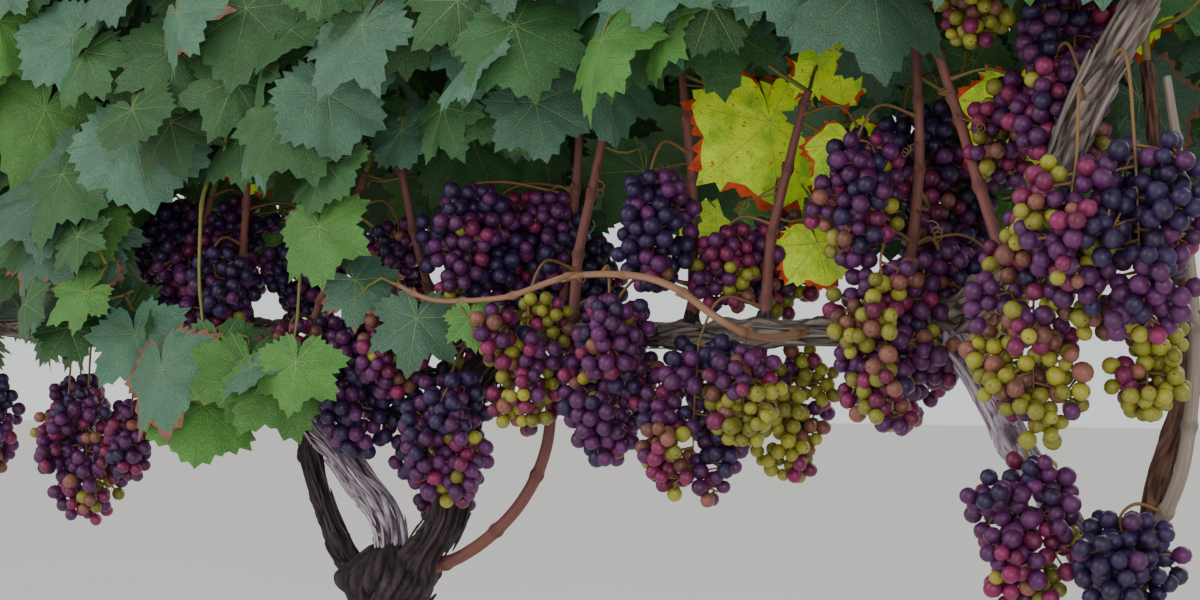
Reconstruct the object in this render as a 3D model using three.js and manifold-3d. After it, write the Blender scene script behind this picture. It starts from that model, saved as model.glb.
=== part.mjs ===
// A grapevine trained on two arms, at the time when its bunches change colour.
// Lengths are millimetres. X runs along the row, Z is up, and the trunk stands at the origin.
// Every limb, bunch and mass of leaves is one closed solid, 0.3 mm clear of what carries it.

import * as THREE from 'three';
import { mergeVertices } from 'three/addons/utils/BufferGeometryUtils.js';
import Module from 'manifold-3d';

const wasm = await Module();
wasm.setup();

// Driving sizes of the whole vine.
const CORDON_HEIGHT = 905;
const HEAD_HEIGHT = 650;
const LEFT_TIP = -860;
const RIGHT_TIP = 647;
const GAP = 0.3;

// The canopy is a hedge over the whole row. Each mass may reach a little way over its neighbours.
const CANOPY_LEFT = -880;
const CANOPY_RIGHT = 930;
const CANOPY_DEPTH = 230;
const CANOPY_TOP = 1780;
const CANOPY_WAVE = 50;
const CELL_OVERLAP = 48;
const CANOPY_NODES = 10;
const CANOPY_STALK_TURN = 0.9;
const CANOPY_SEED = 64;
const TWIG_REACH = 118;

// Masses in front of the bunches have no twigs. Their stalks turn further aside.
const LOW_NODES = 4;
const LOW_STALK_TURN = 2.5;
const LOW_SEED = 71;

// Trunk radii, from its flared foot to the swollen head, and the shares of its height at which
// the flare has died away and the head is fullest and begins to close.
const FOOT_RADIUS = 62;
const WAIST_RADIUS = 29;
const HEAD_RADIUS = 46;
const FLARE_SHARE = 0.11;
const HEAD_SHARE = 0.945;
const HEAD_SPREAD = 0.037;
const CLOSING_SHARE = 0.94;
const BLUNTNESS = 0.12;

// Radii of the old wood and of the canes that grew this year.
const ARM_RADIUS = 14;
const RIGHT_ARM_RADIUS = 21;
const CORDON_RADIUS = 12;
const CORDON_WANDER = 3;
const CANE_RADIUS = 5.5;
const CANE_TIP_RADIUS = 3.6;
const SPUR_SWELL = 4;
const SPUR_SHARE = 0.083;
const BARK_RIDGE = 0.08;
const RIDGE_TWIST = 5;
const SPUR_SPREAD = 0.03;

// A twig leaves its stem within a fan to the front or the back, turns up towards its tip, and has
// one node. A node is a short band of the shoot, and the stem has them between two of its shares.
const TWIG_RADIUS = 4;
const TWIG_TAPER = 1.2;
const TWIG_FAN = 0.9;
const TWIG_RISE = 0.3;
const TWIG_DROOP = 0.2;
const TWIG_LENGTHS = [0.8, 1];
const TWIG_NODE = 0.55;
const NODE_LENGTH = 9;
const STEM_NODES = [0.1, 0.92];

// Leaves are larger than life because each stands for two or three.
const LEAF_LENGTH = 118;
const LOW_LEAF_LENGTH = 84;
const SMALL_LEAF_LENGTH = 48;
const LEAF_THICKNESS = 2.4;
const BLADE_FOLD = 0.22;
const LEAF_STALK = 0.49;
const LEAF_SIZES = [0.8, 1.1];
const STALK_SIZES = [0.75, 1.1];
const LEAF_TRIES = 30;
const BLADE_SHARE = 0.8;

// How leaves sit, as parts of a direction: the rise of a stalk, how far a blade points aside,
// outwards and down, how far the topmost blades stand up, and how far its face tips aside and up.
const STALK_RISE = [0.1, 0.4];
const BLADE_TURN = 0.5;
const BLADE_REACH = [0.3, 0.6];
const BLADE_HANG = [-1.2, -0.6];
const CROWN_RISE = [0.3, 0.9];
const FACE_TURN = 0.3;
const FACE_RISE = 0.6;

// Each bunch hangs on a stalk. Its berries stand out by a share of its radius.
const STALK_RADIUS = 3.2;
const STALK_DEPTH = 14;
const STALK_ARCH = 8;
const KNOB_HEIGHT = 0.24;
const KNOB_SAG = 4;
const BERRY_COLUMNS = 9;
const BERRY_ROWS = 7;

function material(color, roughness) {
  return new THREE.MeshStandardMaterial({ color, roughness, metalness: 0, flatShading: true });
}

const DARK_BARK = material(0x3d3336, 0.95);
const PALE_BARK = material(0x8f828b, 0.9);
const GREY_BARK = material(0x9b9088, 0.9);
const RED_CANE = material(0x6d4138, 0.7);
const TAN_CANE = material(0x9f8360, 0.7);
const DEEP_LEAF = material(0x3f6b40, 0.75);
const FRESH_LEAF = material(0x6f9a3c, 0.75);
const BERRIES = {
  blue: material(0x2b2c4a, 0.55),
  purple: material(0x552a4c, 0.5),
  rose: material(0x97455c, 0.45),
  green: material(0xa7a54c, 0.45),
};

const vine = new THREE.Group();
const placed = [];

// The middle line of each limb by the limb's name, for what grows from it.
const carriers = {};

// Joining and cutting.

function toSolid(geometry) {
  geometry.deleteAttribute('normal');
  geometry.deleteAttribute('uv');
  const merged = mergeVertices(geometry);
  const vertProperties = new Float32Array(merged.attributes.position.array);
  const triVerts = new Uint32Array(merged.index.array);
  return new wasm.Manifold(new wasm.Mesh({ numProp: 3, vertProperties, triVerts }));
}

function toGeometry(solid) {
  const mesh = solid.getMesh();
  const geometry = new THREE.BufferGeometry();
  geometry.setAttribute('position', new THREE.BufferAttribute(mesh.vertProperties, mesh.numProp));
  geometry.setIndex(new THREE.BufferAttribute(mesh.triVerts, 1));
  geometry.computeVertexNormals();
  return geometry;
}

function indexedGeometry(points, faces) {
  const geometry = new THREE.BufferGeometry();
  geometry.setAttribute('position', new THREE.Float32BufferAttribute(points.flat(), 3));
  geometry.setIndex(faces.flat());
  return geometry;
}

// Scraps and sealed hollows are dropped by keeping the one body with the most volume.
function mainBody(solid) {
  const bodies = solid.decompose();
  return bodies.reduce((best, body) => (body.volume() > best.volume() ? body : best));
}

function boxesMeet(first, second) {
  const overlapsAlong = (axis) => first.min[axis] < second.max[axis] && second.min[axis] < first.max[axis];
  return [0, 1, 2].every(overlapsAlong);
}

function neighbours(solid) {
  const box = solid.boundingBox();
  return placed.filter((other) => boxesMeet(box, other.box));
}

function cutClear(solid) {
  return mainBody(neighbours(solid).reduce((body, other) => body.subtract(other.keepOut), solid));
}

function touchesOthers(solid) {
  return neighbours(solid).some((other) => !solid.intersect(other.keepOut).isEmpty());
}

function place(name, solid, keepOut, finish) {
  const mesh = new THREE.Mesh(toGeometry(solid), finish);
  mesh.name = name;
  vine.add(mesh);
  placed.push({ name, keepOut, box: keepOut.boundingBox() });
}

// Limbs. A limb is a round section of changing radius carried along a smooth curve. Its ridges run
// along it, and a limb with clearance is that much fatter and longer all round.

function limbCurve(path) {
  const points = path.map((point) => new THREE.Vector3(...point));
  return new THREE.CatmullRomCurve3(points, false, 'centripetal');
}

function limbSolid({ path, radius, sides = 6, steps = 8, ridges = 0, ridgeDepth = 0 }, clearance = 0) {
  const curve = limbCurve(path);
  const frames = curve.computeFrenetFrames(steps, false);
  const widen = clearance / Math.cos(Math.PI / sides);
  const points = [];
  for (let ring = 0; ring <= steps; ring += 1) {
    const along = ring / steps;
    const centre = curve.getPointAt(along);
    const overhang = clearance * (Number(ring === steps) - Number(ring === 0));
    centre.addScaledVector(frames.tangents[ring], overhang);
    for (let side = 0; side < sides; side += 1) {
      const turn = (2 * Math.PI * side) / sides;
      const ridge = 1 + ridgeDepth * Math.cos(ridges * turn + RIDGE_TWIST * along);
      const reach = radius(along) * ridge + widen;
      const point = centre.clone();
      point.addScaledVector(frames.normals[ring], reach * Math.cos(turn));
      point.addScaledVector(frames.binormals[ring], reach * Math.sin(turn));
      points.push(point.toArray());
    }
  }
  return toSolid(indexedGeometry(points, tubeFaces(sides, steps)));
}

// Side faces between neighbouring rings, and a fan across each end.
function tubeFaces(sides, steps) {
  const faces = [];
  for (let ring = 0; ring < steps; ring += 1) {
    for (let side = 0; side < sides; side += 1) {
      const next = (side + 1) % sides;
      const low = ring * sides;
      const high = low + sides;
      faces.push([low + side, low + next, high + next]);
      faces.push([low + side, high + next, high + side]);
    }
  }
  const end = steps * sides;
  for (let side = 1; side < sides - 1; side += 1) {
    faces.push([0, side + 1, side]);
    faces.push([end, end + side, end + side + 1]);
  }
  return faces;
}

function taper(base, tip) {
  return (along) => base + (tip - base) * along;
}

function placeLimb(name, limb, finish) {
  carriers[name] = limbCurve(limb.path);
  place(name, cutClear(limbSolid(limb)), limbSolid(limb, GAP), finish);
}

// A bump is a smooth swelling of height 1 around a centre.
function bump(value, centre, spread) {
  return Math.exp(-(((value - centre) / spread) ** 2));
}

// The trunk narrows above its flared foot, swells into the head and closes to a blunt crown.
function trunkRadius(along) {
  const flare = (FOOT_RADIUS - WAIST_RADIUS) * Math.exp(-along / FLARE_SHARE);
  const head = (HEAD_RADIUS - WAIST_RADIUS) * bump(along, HEAD_SHARE, HEAD_SPREAD);
  const closing = Math.max(0, along - CLOSING_SHARE) / (1 - CLOSING_SHARE);
  return (WAIST_RADIUS + flare + head) * Math.sqrt(Math.max(BLUNTNESS, 1 - closing ** 2));
}

// It leans to the left with a slow S-bend, and is cut flat at the ground.
function trunk() {
  const below = 30;
  const limb = {
    path: [[0, 0, -below], [4, 2, 140], [-14, -4, 330], [-24, 3, 520], [-10, 0, HEAD_HEIGHT + 45]],
    radius: trunkRadius,
    sides: 11,
    steps: 26,
    ridges: 4,
    ridgeDepth: BARK_RIDGE,
  };
  const block = new THREE.BoxGeometry(4 * FOOT_RADIUS, 4 * FOOT_RADIUS, 2 * below);
  const ground = toSolid(block.translate(0, 0, -below));
  place('trunk', mainBody(limbSolid(limb).subtract(ground)), limbSolid(limb, GAP), DARK_BARK);
}

function oldWood(name, path, radius, steps, finish) {
  placeLimb(name, { path, radius, sides: 8, steps, ridges: 3, ridgeDepth: BARK_RIDGE }, finish);
}

// The left arm is old pale wood, and a darker second stem runs up beside it and joins it again.
function leftArms() {
  const arm = [
    [-8, 0, HEAD_HEIGHT + 5], [-20, 2, 712], [-62, 4, 753], [-92, 2, 785],
    [-126, 0, 812], [-152, 0, 868], [-200, 0, CORDON_HEIGHT + 9],
  ];
  const second = [
    [-28, -4, HEAD_HEIGHT - 14], [-70, -8, 672], [-100, -10, 722], [-122, -6, 768], [-134, -2, 822],
  ];
  oldWood('left_arm', arm, taper(ARM_RADIUS + 2, ARM_RADIUS), 12, PALE_BARK);
  oldWood('left_second_stem', second, taper(ARM_RADIUS - 1, ARM_RADIUS - 4), 7, DARK_BARK);
}

function rightArm() {
  const path = [
    [8, 0, HEAD_HEIGHT - 10], [38, -2, 684], [66, 0, 722], [80, 0, 780],
    [92, 0, 840], [128, 0, 884], [192, 0, CORDON_HEIGHT],
  ];
  oldWood('right_arm', path, taper(RIGHT_ARM_RADIUS, CORDON_RADIUS + 1), 10, DARK_BARK);
}

// A cordon runs level along the row and wanders a little, with a swelling under each spur.
function cordon(name, from, to) {
  const across = to[0] - from[0];
  const path = Array.from({ length: 7 }, (unused, index) => {
    const share = index / 6;
    const wander = CORDON_WANDER * Math.sin(4 * Math.PI * share);
    return [from[0] + across * share, wander, from[1] + (to[1] - from[1]) * share + 0.5 * wander];
  });
  const spurs = Object.values(CANES)
    .map(({ root }) => (root[0] - from[0]) / across)
    .filter((share) => share > 0 && share < 1);
  const radius = (along) => taper(CORDON_RADIUS, CORDON_RADIUS - 3)(along)
    + spurs.reduce((sum, spur) => sum + SPUR_SWELL * bump(along, spur, SPUR_SPREAD), 0);
  oldWood(name, path, radius, 20, GREY_BARK);
}

// Past the right cordon an old arm hangs down, a thick arm rises, and a brown stem climbs again
// from the low end of the hanging one.
function rightEnd() {
  const hanging = [
    [RIGHT_TIP - 8, 0, CORDON_HEIGHT + 3], [672, -2, 872], [714, -4, 802],
    [760, -6, 740], [794, -10, 686], [812, -10, 668],
  ];
  const rising = [
    [RIGHT_TIP - 2, 0, CORDON_HEIGHT + 9], [700, -22, 940], [762, -60, 992],
    [830, -104, 1092], [888, -124, 1168],
  ];
  const climbing = [
    [806, -10, 674], [828, -6, 716], [838, 0, 781], [858, 8, 863],
    [850, 14, 960], [834, 10, 1052], [828, 6, 1130],
  ];
  oldWood('right_hanging_limb', hanging, taper(ARM_RADIUS, ARM_RADIUS - 4), 9, PALE_BARK);
  oldWood('right_rising_arm', rising, taper(ARM_RADIUS + 2, ARM_RADIUS - 2), 9, GREY_BARK);
  oldWood('right_low_stem', climbing, taper(ARM_RADIUS - 2, CANE_RADIUS), 10, DARK_BARK);
}

// Canes. Each grows from a spur at its root, bows a little, and ends where it enters the leaves.

const CANES = {
  cane_1: { root: [-790, 0, 920], tip: [-766, 12, 1010], bow: 8 },
  cane_2: { root: [-610, 0, 918], tip: [-552, -8, 1030], bow: -8 },
  cane_3: { root: [-440, 0, 918], tip: [-398, -34, 1092], bow: 10 },
  cane_4: { root: [-325, 0, 916], tip: [-306, 16, 1070], bow: -6 },
  cane_5: { root: [-228, 0, 916], tip: [-196, -34, 1080], bow: -8 },
  cane_6: { root: [-152, 0, 868], tip: [-62, 12, 1084], bow: 14 },
  cane_7: { root: [86, 0, 820], tip: [24, -30, 1086], bow: -12 },
  cane_8: { root: [226, 0, 905], tip: [306, 8, 1216], bow: -14 },
  cane_9: { root: [372, 0, 908], tip: [348, 14, 1180], bow: 10 },
  cane_10: { root: [452, 0, 906], tip: [496, 12, 1130], bow: -10 },
  cane_11: { root: [598, 0, 904], tip: [606, 16, 1170], bow: 14 },
  cane_12: { root: [718, -30, 952], tip: [634, -34, 1226], bow: -12 },
};

function canePath({ root, tip, bow }) {
  const shares = [0, 0.3, 0.65, 1];
  return shares.map((share) => {
    const sway = bow * Math.sin(Math.PI * share);
    const x = root[0] + (tip[0] - root[0]) * share ** 1.2 + sway;
    const y = root[1] + (tip[1] - root[1]) * share - 0.5 * sway;
    const z = root[2] + (tip[2] - root[2]) * share;
    return [x, y, z];
  });
}

function caneRadius(along) {
  return taper(CANE_RADIUS, CANE_TIP_RADIUS)(along) + SPUR_SWELL * Math.exp(-along / SPUR_SHARE);
}

function canes() {
  for (const [name, cane] of Object.entries(CANES)) {
    placeLimb(name, { path: canePath(cane), radius: caneRadius, sides: 5, steps: 6 }, RED_CANE);
  }
}

// Three canes take longer ways. One leaves the side of the head and climbs behind the right arm,
// a grey one climbs at the right end, and a tan one arches forward over the bunches.
function longCanes() {
  const fromHead = [
    [34, 12, HEAD_HEIGHT + 14], [74, 16, 680], [112, 20, 704], [145, 26, 739], [171, 30, 790],
    [180, 32, 850], [196, 34, 980], [218, 26, 1110], [232, 14, 1220],
  ];
  const atEnd = [[832, -4, 730], [866, -20, 790], [880, -26, 880], [872, -24, 1000], [856, -20, 1110]];
  const arched = [
    [505, 0, CORDON_HEIGHT], [492, -60, 900], [478, -104, 914], [430, -116, 945], [388, -114, 957],
    [312, -112, 957], [227, -110, 940], [142, -104, 939], [88, -100, 955],
  ];
  const bend = (path, base, tip, steps) => ({ path, radius: taper(base, tip), sides: 5, steps });
  placeLimb('head_cane', bend(fromHead, CANE_RADIUS + 1.5, CANE_TIP_RADIUS, 12), RED_CANE);
  placeLimb('end_cane', bend(atEnd, CANE_RADIUS + 1, CANE_TIP_RADIUS, 8), GREY_BARK);
  placeLimb('arched_cane', bend(arched, CANE_RADIUS - 1, CANE_TIP_RADIUS - 1, 18), TAN_CANE);
}

// Bunches. A bunch is a hanging cone with rounded shoulders whose surface is a net of staggered
// points. Every third point stands out as a berry, with six faces falling away from it. Each row
// gives what carries the bunch and where along it, the top of the bunch, its length, its width, the
// colour that it has reached, and the share of its radius by which a wing stands out.

const BUNCHES = [
  ['left_cordon', -648, [-640, -48, 866], 130, 84, 'purple', 0],
  ['left_cordon', -462, [-446, -44, 846], 150, 100, 'rose', 0.3],
  ['cane_3', 0.9, [-386, 48, 1064], 100, 74, 'blue', 0],
  ['cane_5', 0.55, [-222, -60, 1000], 105, 78, 'purple', 0],
  ['cane_5', 0.8, [-180, 46, 1036], 118, 84, 'blue', 0],
  ['cane_7', 0.45, [-6, -62, 924], 140, 92, 'blue', 0.2],
  ['head_cane', 0.72, [128, -48, 1052], 124, 92, 'purple', 0],
  ['head_cane', 0.66, [160, 74, 1040], 136, 84, 'blue', 0],
  ['right_arm', 0.83, [124, -62, 866], 128, 84, 'purple', 0],
  ['cane_7', 0.1, [30, 42, 836], 130, 74, 'blue', 0],
  ['cane_8', 0.2, [222, -60, 942], 132, 96, 'green', 0.3],
  ['cane_9', 0.62, [362, -54, 1052], 104, 78, 'blue', 0],
  ['cane_9', 0.16, [322, -56, 930], 146, 92, 'purple', 0.3],
  ['cane_10', 0.1, [424, -62, 898], 148, 104, 'purple', 0.35],
  ['cane_10', 0.6, [434, 50, 1020], 100, 84, 'rose', 0],
  ['right_cordon', 462, [455, 46, 892], 124, 82, 'green', 0],
  ['cane_11', 0.72, [586, -52, 1076], 112, 84, 'purple', 0],
  ['cane_11', 0.3, [612, -60, 968], 150, 98, 'rose', 0.25],
  ['cane_11', 0.85, [604, 66, 1112], 190, 92, 'purple', 0],
  ['right_rising_arm', 0.55, [792, -126, 1002], 190, 108, 'green', 0.3],
  ['right_rising_arm', 0.72, [780, -66, 1128], 108, 84, 'purple', 0],
  ['right_rising_arm', 0.8, [882, -146, 1046], 152, 104, 'blue', 0.3],
  ['end_cane', 0.6, [858, -84, 930], 96, 74, 'green', 0],
  ['right_hanging_limb', 0.42, [750, -62, 798], 128, 88, 'purple', 0.2],
].map(([on, from, top, length, width, ripe, wing]) => ({ on, from, top, length, width, ripe, wing }));

// The radius grows quickly from the top to the shoulders and shrinks slowly to the tail. A wing
// is a lobe that stands out of the shoulders to the front left.
const SHOULDER_CURVE = 0.35;
const TAIL_CURVE = 0.55;
const WIDEST = 0.545;
const WING = { turn: 1.3 * Math.PI, down: 0.2, spread: 0.16 };

function bunchRadius(down, turn, { width, wing }) {
  const cone = (down ** SHOULDER_CURVE * (1 - down) ** TAIL_CURVE) / WIDEST;
  const lobe = wing * Math.max(0, Math.cos(turn - WING.turn)) ** 3 * bump(down, WING.down, WING.spread);
  return 0.5 * width * (cone + lobe);
}

function bunchBody(bunch, clearance) {
  const { top, length } = bunch;
  const points = [[top[0], top[1], top[2] + clearance]];
  for (let row = 0; row < BERRY_ROWS; row += 1) {
    const down = (row + 0.6) / (BERRY_ROWS + 0.2);
    for (let column = 0; column < BERRY_COLUMNS; column += 1) {
      const turn = (2 * Math.PI * (column + 0.5 * (row % 2))) / BERRY_COLUMNS;
      const standsOut = (((column - Math.floor(row / 2) - row) % 3) + 3) % 3 === 0;
      const knob = standsOut ? 1 : 1 - KNOB_HEIGHT;
      const reach = bunchRadius(down, turn, bunch) * knob + clearance;
      const drop = down * length + (standsOut ? KNOB_SAG : 0);
      points.push([top[0] + reach * Math.cos(turn), top[1] + reach * Math.sin(turn), top[2] - drop]);
    }
  }
  points.push([top[0], top[1], top[2] - length - clearance]);
  return toSolid(indexedGeometry(points, netFaces()));
}

// Faces of the net: a fan at the top, staggered rows, and a fan at the tail.
function netFaces() {
  const faces = [];
  const tail = 1 + BERRY_ROWS * BERRY_COLUMNS;
  for (let column = 0; column < BERRY_COLUMNS; column += 1) {
    const next = (column + 1) % BERRY_COLUMNS;
    const last = tail - BERRY_COLUMNS;
    faces.push([0, 1 + column, 1 + next]);
    faces.push([tail, last + next, last + column]);
    for (let row = 0; row < BERRY_ROWS - 1; row += 1) {
      const upper = 1 + row * BERRY_COLUMNS;
      const lower = upper + BERRY_COLUMNS;
      if (row % 2 === 0) {
        faces.push([upper + column, lower + column, upper + next]);
        faces.push([upper + next, lower + column, lower + next]);
      } else {
        faces.push([upper + column, lower + column, lower + next]);
        faces.push([upper + column, lower + next, upper + next]);
      }
    }
  }
  return faces;
}

// The stalk leaves the middle of its cane or arm, arches out and enters the top of the bunch.
function stalkLimb(root, top) {
  const out = [0, 1].map((axis) => (root[axis] + 2 * top[axis]) / 3);
  out.push(Math.max(root[2], top[2]) + STALK_ARCH);
  const end = [top[0], top[1], top[2] - STALK_DEPTH];
  return { path: [root, out, end], radius: taper(STALK_RADIUS, STALK_RADIUS - 0.4), sides: 5, steps: 5 };
}

// The carrying point is a share of the way along a cane or arm, or a place in X along a cordon.
function carryingPoint({ on, from }) {
  const curve = carriers[on];
  if (on.endsWith('cordon')) {
    const ends = [curve.getPointAt(0).x, curve.getPointAt(1).x];
    return curve.getPointAt((from - ends[0]) / (ends[1] - ends[0])).toArray();
  }
  return curve.getPointAt(from).toArray();
}

function bunches() {
  BUNCHES.forEach((bunch, index) => {
    const name = `bunch_${String(index + 1).padStart(2, '0')}`;
    const stalk = stalkLimb(carryingPoint(bunch), bunch.top);
    const solid = bunchBody(bunch, 0).add(limbSolid(stalk));
    const keepOut = bunchBody(bunch, 2 * GAP).add(limbSolid(stalk, GAP));
    place(name, cutClear(solid), keepOut, BERRIES[bunch.ripe]);
  });
}

// Masses of leaves. A mass is one closed skin that starts as a three-sided stem at the tip of its
// cane. A twig or leaf grows out of one face of the skin, so that it is one body with what bears
// it. What would leave the space of the mass or touch a neighbour is left out.

const random = () => THREE.MathUtils.seededRandom();
const between = (low, high) => low + (high - low) * random();
const within = (range) => between(...range);

class Skin {
  points = [];
  faces = new Set();

  addPoints(points) {
    const first = this.points.length;
    this.points.push(...points);
    return points.map((point, index) => first + index);
  }

  addFace(...corners) {
    this.faces.add(corners);
    return corners;
  }

  // Draws the skin from a three-sided rim out to a new ring, and returns the ring and its band.
  extend(rim, points) {
    const ring = this.addPoints(points);
    const band = [0, 1, 2].flatMap((side) => {
      const next = (side + 1) % 3;
      const lower = this.addFace(rim[side], rim[next], ring[next]);
      return [lower, this.addFace(rim[side], ring[next], ring[side])];
    });
    return { ring, band };
  }

  // Takes a face away, and its three corners are the rim that something grows from.
  open(face) {
    this.faces.delete(face);
    return face;
  }

  corners(face) {
    return face.map((index) => this.points[index]);
  }

  centre(face) {
    const [first, second, third] = this.corners(face);
    return first.clone().add(second).add(third).divideScalar(3);
  }

  outward(face) {
    return new THREE.Triangle(...this.corners(face)).getNormal(new THREE.Vector3());
  }

  // The whole face of the band that looks most nearly in a direction.
  faceTowards(band, direction) {
    const whole = band.filter((face) => this.faces.has(face));
    return whole.reduce((best, face) => (
      this.outward(face).dot(direction) > this.outward(best).dot(direction) ? face : best));
  }

  toSolid() {
    const points = this.points.map((point) => point.toArray());
    return toSolid(indexedGeometry(points, [...this.faces]));
  }
}

// A ring of three points round a centre, its first one turned towards a hint.
function ringPoints(centre, tangent, radius, hint) {
  const first = hint.clone().sub(centre).projectOnPlane(tangent).normalize();
  const second = new THREE.Vector3().crossVectors(tangent, first);
  return [0, 1, 2].map((corner) => {
    const turn = (2 * Math.PI * corner) / 3;
    return centre.clone()
      .addScaledVector(first, radius * Math.cos(turn))
      .addScaledVector(second, radius * Math.sin(turn));
  });
}

// A shoot runs from a rim along a curve. Two rings close together make the band of each node,
// and its tip is closed by a face.
function drawShoot(skin, rim, curve, nodes, radius) {
  const half = (0.5 * NODE_LENGTH) / curve.getLength();
  const stations = [...nodes.flatMap((node) => [node - half, node + half]), 1];
  const bands = [];
  let hint = skin.points[rim[0]];
  stations.forEach((along, index) => {
    const centre = curve.getPointAt(along);
    const points = ringPoints(centre, curve.getTangentAt(along), radius(along), hint);
    const { ring, band } = skin.extend(rim, points);
    if (index % 2 === 1) {
      bands.push(band);
    }
    rim = ring;
    hint = points[0];
  });
  return { bands, tip: skin.addFace(...rim) };
}

// Leaves. A leaf is a thin lens with the meeting point of its veins raised on both faces. Its
// outline has five lobes and the notch of its stalk, and the stalk joins it to a face of the skin.

const LOBES = [
  { turn: 168, reach: 0.1 },
  { turn: 128, reach: 0.66 },
  { turn: 56, reach: 0.86 },
  { turn: 30, reach: 0.6 },
  { turn: 0, reach: 1 },
];

function leafOutline() {
  const left = LOBES.map(({ turn, reach }) => ({ turn: -turn, reach }));
  const right = LOBES.slice(0, -1).reverse();
  return [...left, ...right];
}

// The points of a blade: its rim from the left of the stalk round to the right, its upper and its
// lower middle. Across the blade both halves fall away from the midrib.
function bladePoints({ knee, heading, up, length }) {
  const ahead = heading.clone().normalize();
  const side = new THREE.Vector3().crossVectors(up, ahead).normalize();
  const face = new THREE.Vector3().crossVectors(ahead, side);
  const at = (along, across, lift) => knee.clone()
    .addScaledVector(ahead, along)
    .addScaledVector(side, across)
    .addScaledVector(face, lift);
  const rim = leafOutline().map(({ turn, reach }) => {
    const angle = THREE.MathUtils.degToRad(turn);
    const across = reach * length * Math.sin(angle);
    return at(reach * length * Math.cos(angle), across, -BLADE_FOLD * reach * Math.abs(across));
  });
  const half = 0.5 * LEAF_THICKNESS;
  return { rim, above: at(0, 0, half), below: at(0, 0, -half), face };
}

function addLeaf(skin, rootFace, leaf) {
  const { rim, above, below, face } = bladePoints(leaf);
  const heights = skin.corners(rootFace).map((point) => point.dot(face));
  const lowest = heights.indexOf(Math.min(...heights));
  const [under, right, left] = [0, 1, 2].map((step) => rootFace[(lowest + step) % 3]);
  skin.open(rootFace);
  const [top, bottom] = skin.addPoints([above, below]);
  const edge = [left, ...skin.addPoints(rim), right];
  for (let index = 0; index < edge.length - 1; index += 1) {
    skin.addFace(top, edge[index], edge[index + 1]);
    skin.addFace(bottom, edge[index + 1], edge[index]);
  }
  skin.addFace(top, right, left);
  skin.addFace(bottom, left, under);
  skin.addFace(bottom, under, right);
}

// The same leaf by itself, closed across its root, to test what it would touch. Pulled in, its
// root is most of the way to the blade, clear of the shoot that bears it.
function loneLeaf(skin, rootFace, leaf, pulledIn) {
  const lone = new Skin();
  const corners = skin.corners(rootFace).map((point) => point.clone().lerp(leaf.knee, pulledIn));
  const root = lone.addPoints(corners);
  lone.addFace(root[0], root[2], root[1]);
  addLeaf(lone, lone.addFace(...root), leaf);
  return lone.toSolid();
}

// Tests that keep a mass to its own space.

function insideSpace(solid, space) {
  const box = solid.boundingBox();
  return [0, 1, 2].every((axis) => box.min[axis] > space.min[axis] && box.max[axis] < space.max[axis]);
}

function meetsAny(solid, others) {
  const box = solid.boundingBox();
  return others.some((other) => boxesMeet(box, other.boundingBox()) && !solid.intersect(other).isEmpty());
}

function isFree(solid, mass, others) {
  return insideSpace(solid, mass.space) && !touchesOthers(solid) && !meetsAny(solid, others);
}

function shootSolid(curve, radius) {
  const path = curve.getSpacedPoints(4).map((point) => point.toArray());
  return limbSolid({ path, radius, sides: 3, steps: 4 });
}

// A twig leaves a node of the stem level and turns up a little towards its tip.
function growTwig(mass, band, turn) {
  const { skin, reach, roundness } = mass;
  const direction = new THREE.Vector3(Math.cos(turn), Math.sin(turn), TWIG_RISE);
  const face = skin.faceTowards(band, direction);
  const root = skin.centre(face);
  const length = reach * within(TWIG_LENGTHS);
  const end = root.clone().addScaledVector(direction, length);
  const middle = root.clone().lerp(end, 0.5);
  middle.z = THREE.MathUtils.lerp(root.z, end.z, TWIG_DROOP);
  const curve = limbCurve([root, middle, end].map((point) => point.toArray()));
  const radius = taper(TWIG_RADIUS, TWIG_RADIUS - TWIG_TAPER);
  const solid = shootSolid(curve, radius);
  if (isFree(solid, mass, mass.solids.slice(1))) {
    const facing = new THREE.Vector3(roundness * Math.cos(turn), Math.sin(turn), 0).normalize();
    mass.shoots.push({ ...drawShoot(skin, skin.open(face), curve, [TWIG_NODE], radius), facing, solid });
    mass.solids.push(solid);
  }
}

// A leaf looks the way its shoot faces. Its stalk leans out and up, and its blade hangs down and
// a little outwards, but the blade at the top of a mass stands up.
function leafPlace(mass, shoot, face) {
  const { skin, leafLength, sideways } = mass;
  const look = skin.outward(face);
  const facing = shoot.facing ?? new THREE.Vector3(0, Math.sign(look.y), 0);
  const across = new THREE.Vector3(-facing.y, facing.x, 0);
  const lean = (spread, forward, rise) => across.clone()
    .multiplyScalar(between(-spread, spread))
    .addScaledVector(facing, forward)
    .setZ(rise);
  const stalk = look.add(lean(sideways, 1, within(STALK_RISE))).normalize();
  const length = leafLength * within(LEAF_SIZES);
  const hang = within(mass.crowned && face === mass.shoots[0].tip ? CROWN_RISE : BLADE_HANG);
  return {
    knee: skin.centre(face).addScaledVector(stalk, LEAF_STALK * leafLength * within(STALK_SIZES)),
    heading: lean(BLADE_TURN, within(BLADE_REACH), hang),
    up: lean(FACE_TURN, 1, FACE_RISE),
    length,
  };
}

// Several places are tried in turn, and the leaf is left out if none is free.
function growLeaf(mass, shoot, face) {
  const others = mass.solids.filter((other) => other !== shoot.solid);
  for (let attempt = 0; attempt < LEAF_TRIES; attempt += 1) {
    const leaf = leafPlace(mass, shoot, face);
    const solid = loneLeaf(mass.skin, face, leaf, 0);
    const blade = loneLeaf(mass.skin, face, leaf, BLADE_SHARE);
    if (isFree(solid, mass, others) && !meetsAny(blade, [shoot.solid])) {
      addLeaf(mass.skin, face, leaf);
      mass.solids.push(solid);
      return;
    }
  }
}

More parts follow.
